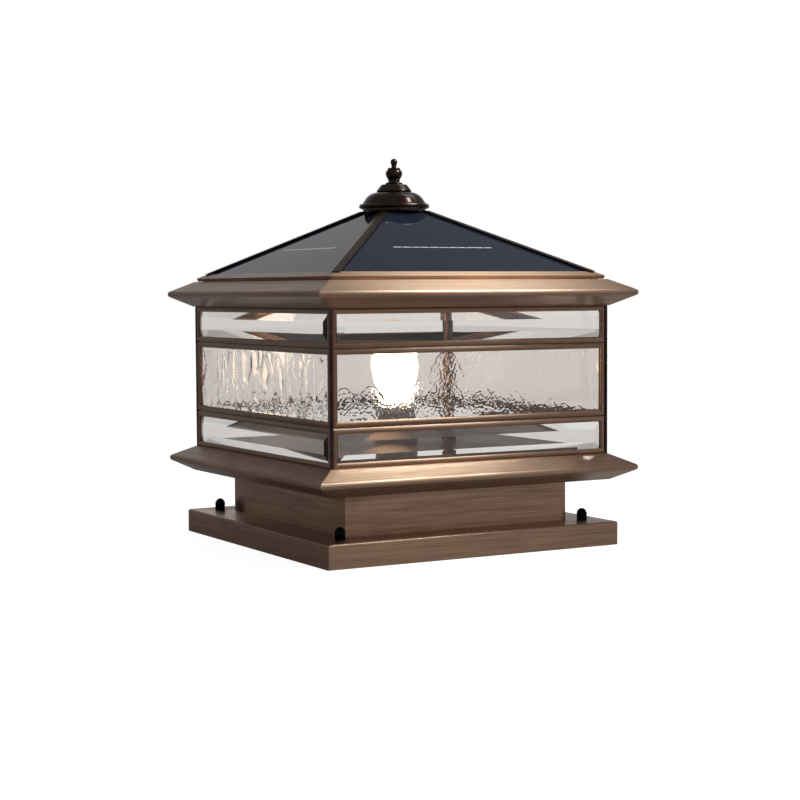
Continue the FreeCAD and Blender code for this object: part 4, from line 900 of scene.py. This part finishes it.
@dataclass(frozen=True)
class Glow:
    """One soft bright patch on the room's walls, full inside near_deg and gone at far_deg."""

    towards: tuple[float, float, float]
    near_deg: float
    far_deg: float
    strength: float


@dataclass(frozen=True)
class SoftBox:
    """One square soft box near the light, turned to face a spot on it."""

    spot: tuple[float, float, float]
    aim: tuple[float, float, float]
    size: float
    watts: float
    colour: tuple[float, float, float] = (0.8, 0.96, 1.02)


@dataclass(frozen=True)
class Studio:
    """Pale paper floor, a dim grey room with three soft bright patches, and two soft boxes overhead.

    The camera sees floor and room white, as the photo's ground is. Rays that have passed through
    glass see a lit floor too, and a room that is bright only round the direction through_towards,
    which is the way that the photo looks, so that the panes read clear from there and greyer from
    elsewhere. That direction is fixed in the room and doesn't follow the camera.
    """

    floor_reach: float = 6.0
    floor_drop: float = 0.0002
    floor_colour: str = "#c4c4c4"
    floor_roughness: float = 0.7
    floor_specular: float = 0.2
    floor_seen: float = 0.9
    floor_through_glass: float = 0.56
    room_light: float = 0.23
    room_seen: float = 1.0
    through_glass: float = 0.75
    aside_glass: float = 0.44
    through_towards: tuple[float, float, float] = (0.492, 0.868, -0.05)
    through_near_deg: float = 7.0
    through_far_deg: float = 15.0
    glows: tuple[Glow, ...] = (
        Glow((0.49, -0.87, 0.0), 12, 45, 0.36),
        Glow((0.49, 0.87, 0.05), 8, 26, 0.35),
        Glow((0.25, 0.87, 0.43), 8, 26, 0.1),
    )
    boxes: tuple[SoftBox, ...] = (
        SoftBox((0.33, -0.305, 0.75), (-0.06, -0.14, 0.07), 0.22, 3.7),
        SoftBox((0.37, 0.03, 0.86), (0.0, -0.14, 0.21), 0.3, 0.5),
    )

    def floor(self) -> None:
        """Lay the floor."""
        mesh = bmesh.new()
        bmesh.ops.create_grid(mesh, x_segments=4, y_segments=4, size=self.floor_reach)
        data = bpy.data.meshes.new("floor")
        mesh.to_mesh(data)
        mesh.free()
        floor = bpy.data.objects.new("floor", data)
        floor.location.z = -self.floor_drop
        bpy.context.collection.objects.link(floor)
        material, tree, out = new_tree("floor_white_paper")
        ray = put(tree, "LightPath")
        glazed = put(tree, "Math", values={1: self.floor_through_glass},
                     links={0: ray.outputs["Is Transmission Ray"]}, operation="MULTIPLY")
        lift = put(tree, "Math", values={1: self.floor_seen},
                   links={0: ray.outputs["Is Camera Ray"], 2: glazed.outputs[0]},
                   operation="MULTIPLY_ADD")
        shader = put(tree, "BsdfPrincipled",
                     values={"Base Color": linear(self.floor_colour),
                             "Roughness": self.floor_roughness,
                             "Specular IOR Level": self.floor_specular,
                             "Emission Color": (1, 1, 1, 1)},
                     links={"Emission Strength": lift.outputs[0]})
        tree.links.new(shader.outputs[0], out.inputs[0])
        dress(floor, material)

    def lamps(self) -> None:
        """Hang the soft boxes."""
        for box in self.boxes:
            data = bpy.data.lights.new("soft_box", "AREA")
            data.size = box.size
            data.energy = box.watts
            data.color = box.colour
            lamp = bpy.data.objects.new("soft_box", data)
            lamp.location = box.spot
            lamp.rotation_euler = (Vector(box.aim) - Vector(box.spot)).to_track_quat("-Z", "Y").to_euler()
            lamp.visible_camera = False
            bpy.context.collection.objects.link(lamp)

    @staticmethod
    def patch(tree: bpy.types.NodeTree, place: bpy.types.Node, towards: tuple[float, float, float],
              degrees: tuple[float, float], levels: tuple[float, float]) -> bpy.types.Node:
        """Blend between two levels by how near a direction of the room is to a chosen one.

        Args:
            tree: The room's node tree.
            place: Its texture coordinates.
            towards: The chosen direction.
            degrees: Where the near level ends and where the far level starts.
            levels: The near and the far level.

        Returns:
            The node whose output is the level.
        """
        facing = put(tree, "VectorMath", values={1: Vector(towards).normalized()},
                     links={0: place.outputs["Generated"]}, operation="DOT_PRODUCT")
        near, far = (math.cos(math.radians(angle)) for angle in degrees)
        return put(tree, "MapRange", values={"From Min": far, "From Max": near,
                                             "To Min": levels[1], "To Max": levels[0]},
                   links={"Value": facing.outputs["Value"]}, interpolation_type="SMOOTHSTEP")

    def room(self) -> None:
        """Light the room from its patches and show the photo's white ground to the camera."""
        world = bpy.data.worlds.new("soft_room")
        world.use_nodes = True
        tree = world.node_tree
        tree.nodes.clear()
        place = put(tree, "TexCoord")
        level = put(tree, "Value")
        level.outputs[0].default_value = self.room_light
        total = level.outputs[0]
        for glow in self.glows:
            patch = self.patch(tree, place, glow.towards, (glow.near_deg, glow.far_deg),
                               (glow.strength, 0.0))
            total = put(tree, "Math", links={0: total, 1: patch.outputs[0]},
                        operation="ADD").outputs[0]
        through = self.patch(tree, place, self.through_towards,
                             (self.through_near_deg, self.through_far_deg),
                             (self.through_glass, self.aside_glass))
        ray = put(tree, "LightPath")
        glazed = put(tree, "Mix", links={"Factor": ray.outputs["Is Transmission Ray"], "A": total,
                                         "B": through.outputs[0]})
        seen = put(tree, "Mix", values={"B": self.room_seen},
                   links={"Factor": ray.outputs["Is Camera Ray"], "A": glazed.outputs[0]})
        back = put(tree, "Background", values={0: (1, 1, 1, 1)}, links={1: seen.outputs[0]})
        out = put(tree, "OutputWorld")
        tree.links.new(back.outputs[0], out.inputs[0])
        bpy.context.scene.world = world
        bpy.context.scene.view_settings.view_transform = "Standard"


def main() -> None:
    """Build and dress the sub-assemblies in order and set the studio and camera."""
    logging.basicConfig(level=logging.INFO)
    finishes = Finishes()
    for part in (Base(finishes), GlassBody(finishes), Lamp(finishes), SolarHead(finishes)):
        part.dress()
    water = WaterGlass(finishes.rolled)
    for side in Side:
        water.build(side)
    studio = Studio()
    studio.floor()
    studio.lamps()
    studio.room()
    Camera().place()


if __name__ == "__main__":
    main()
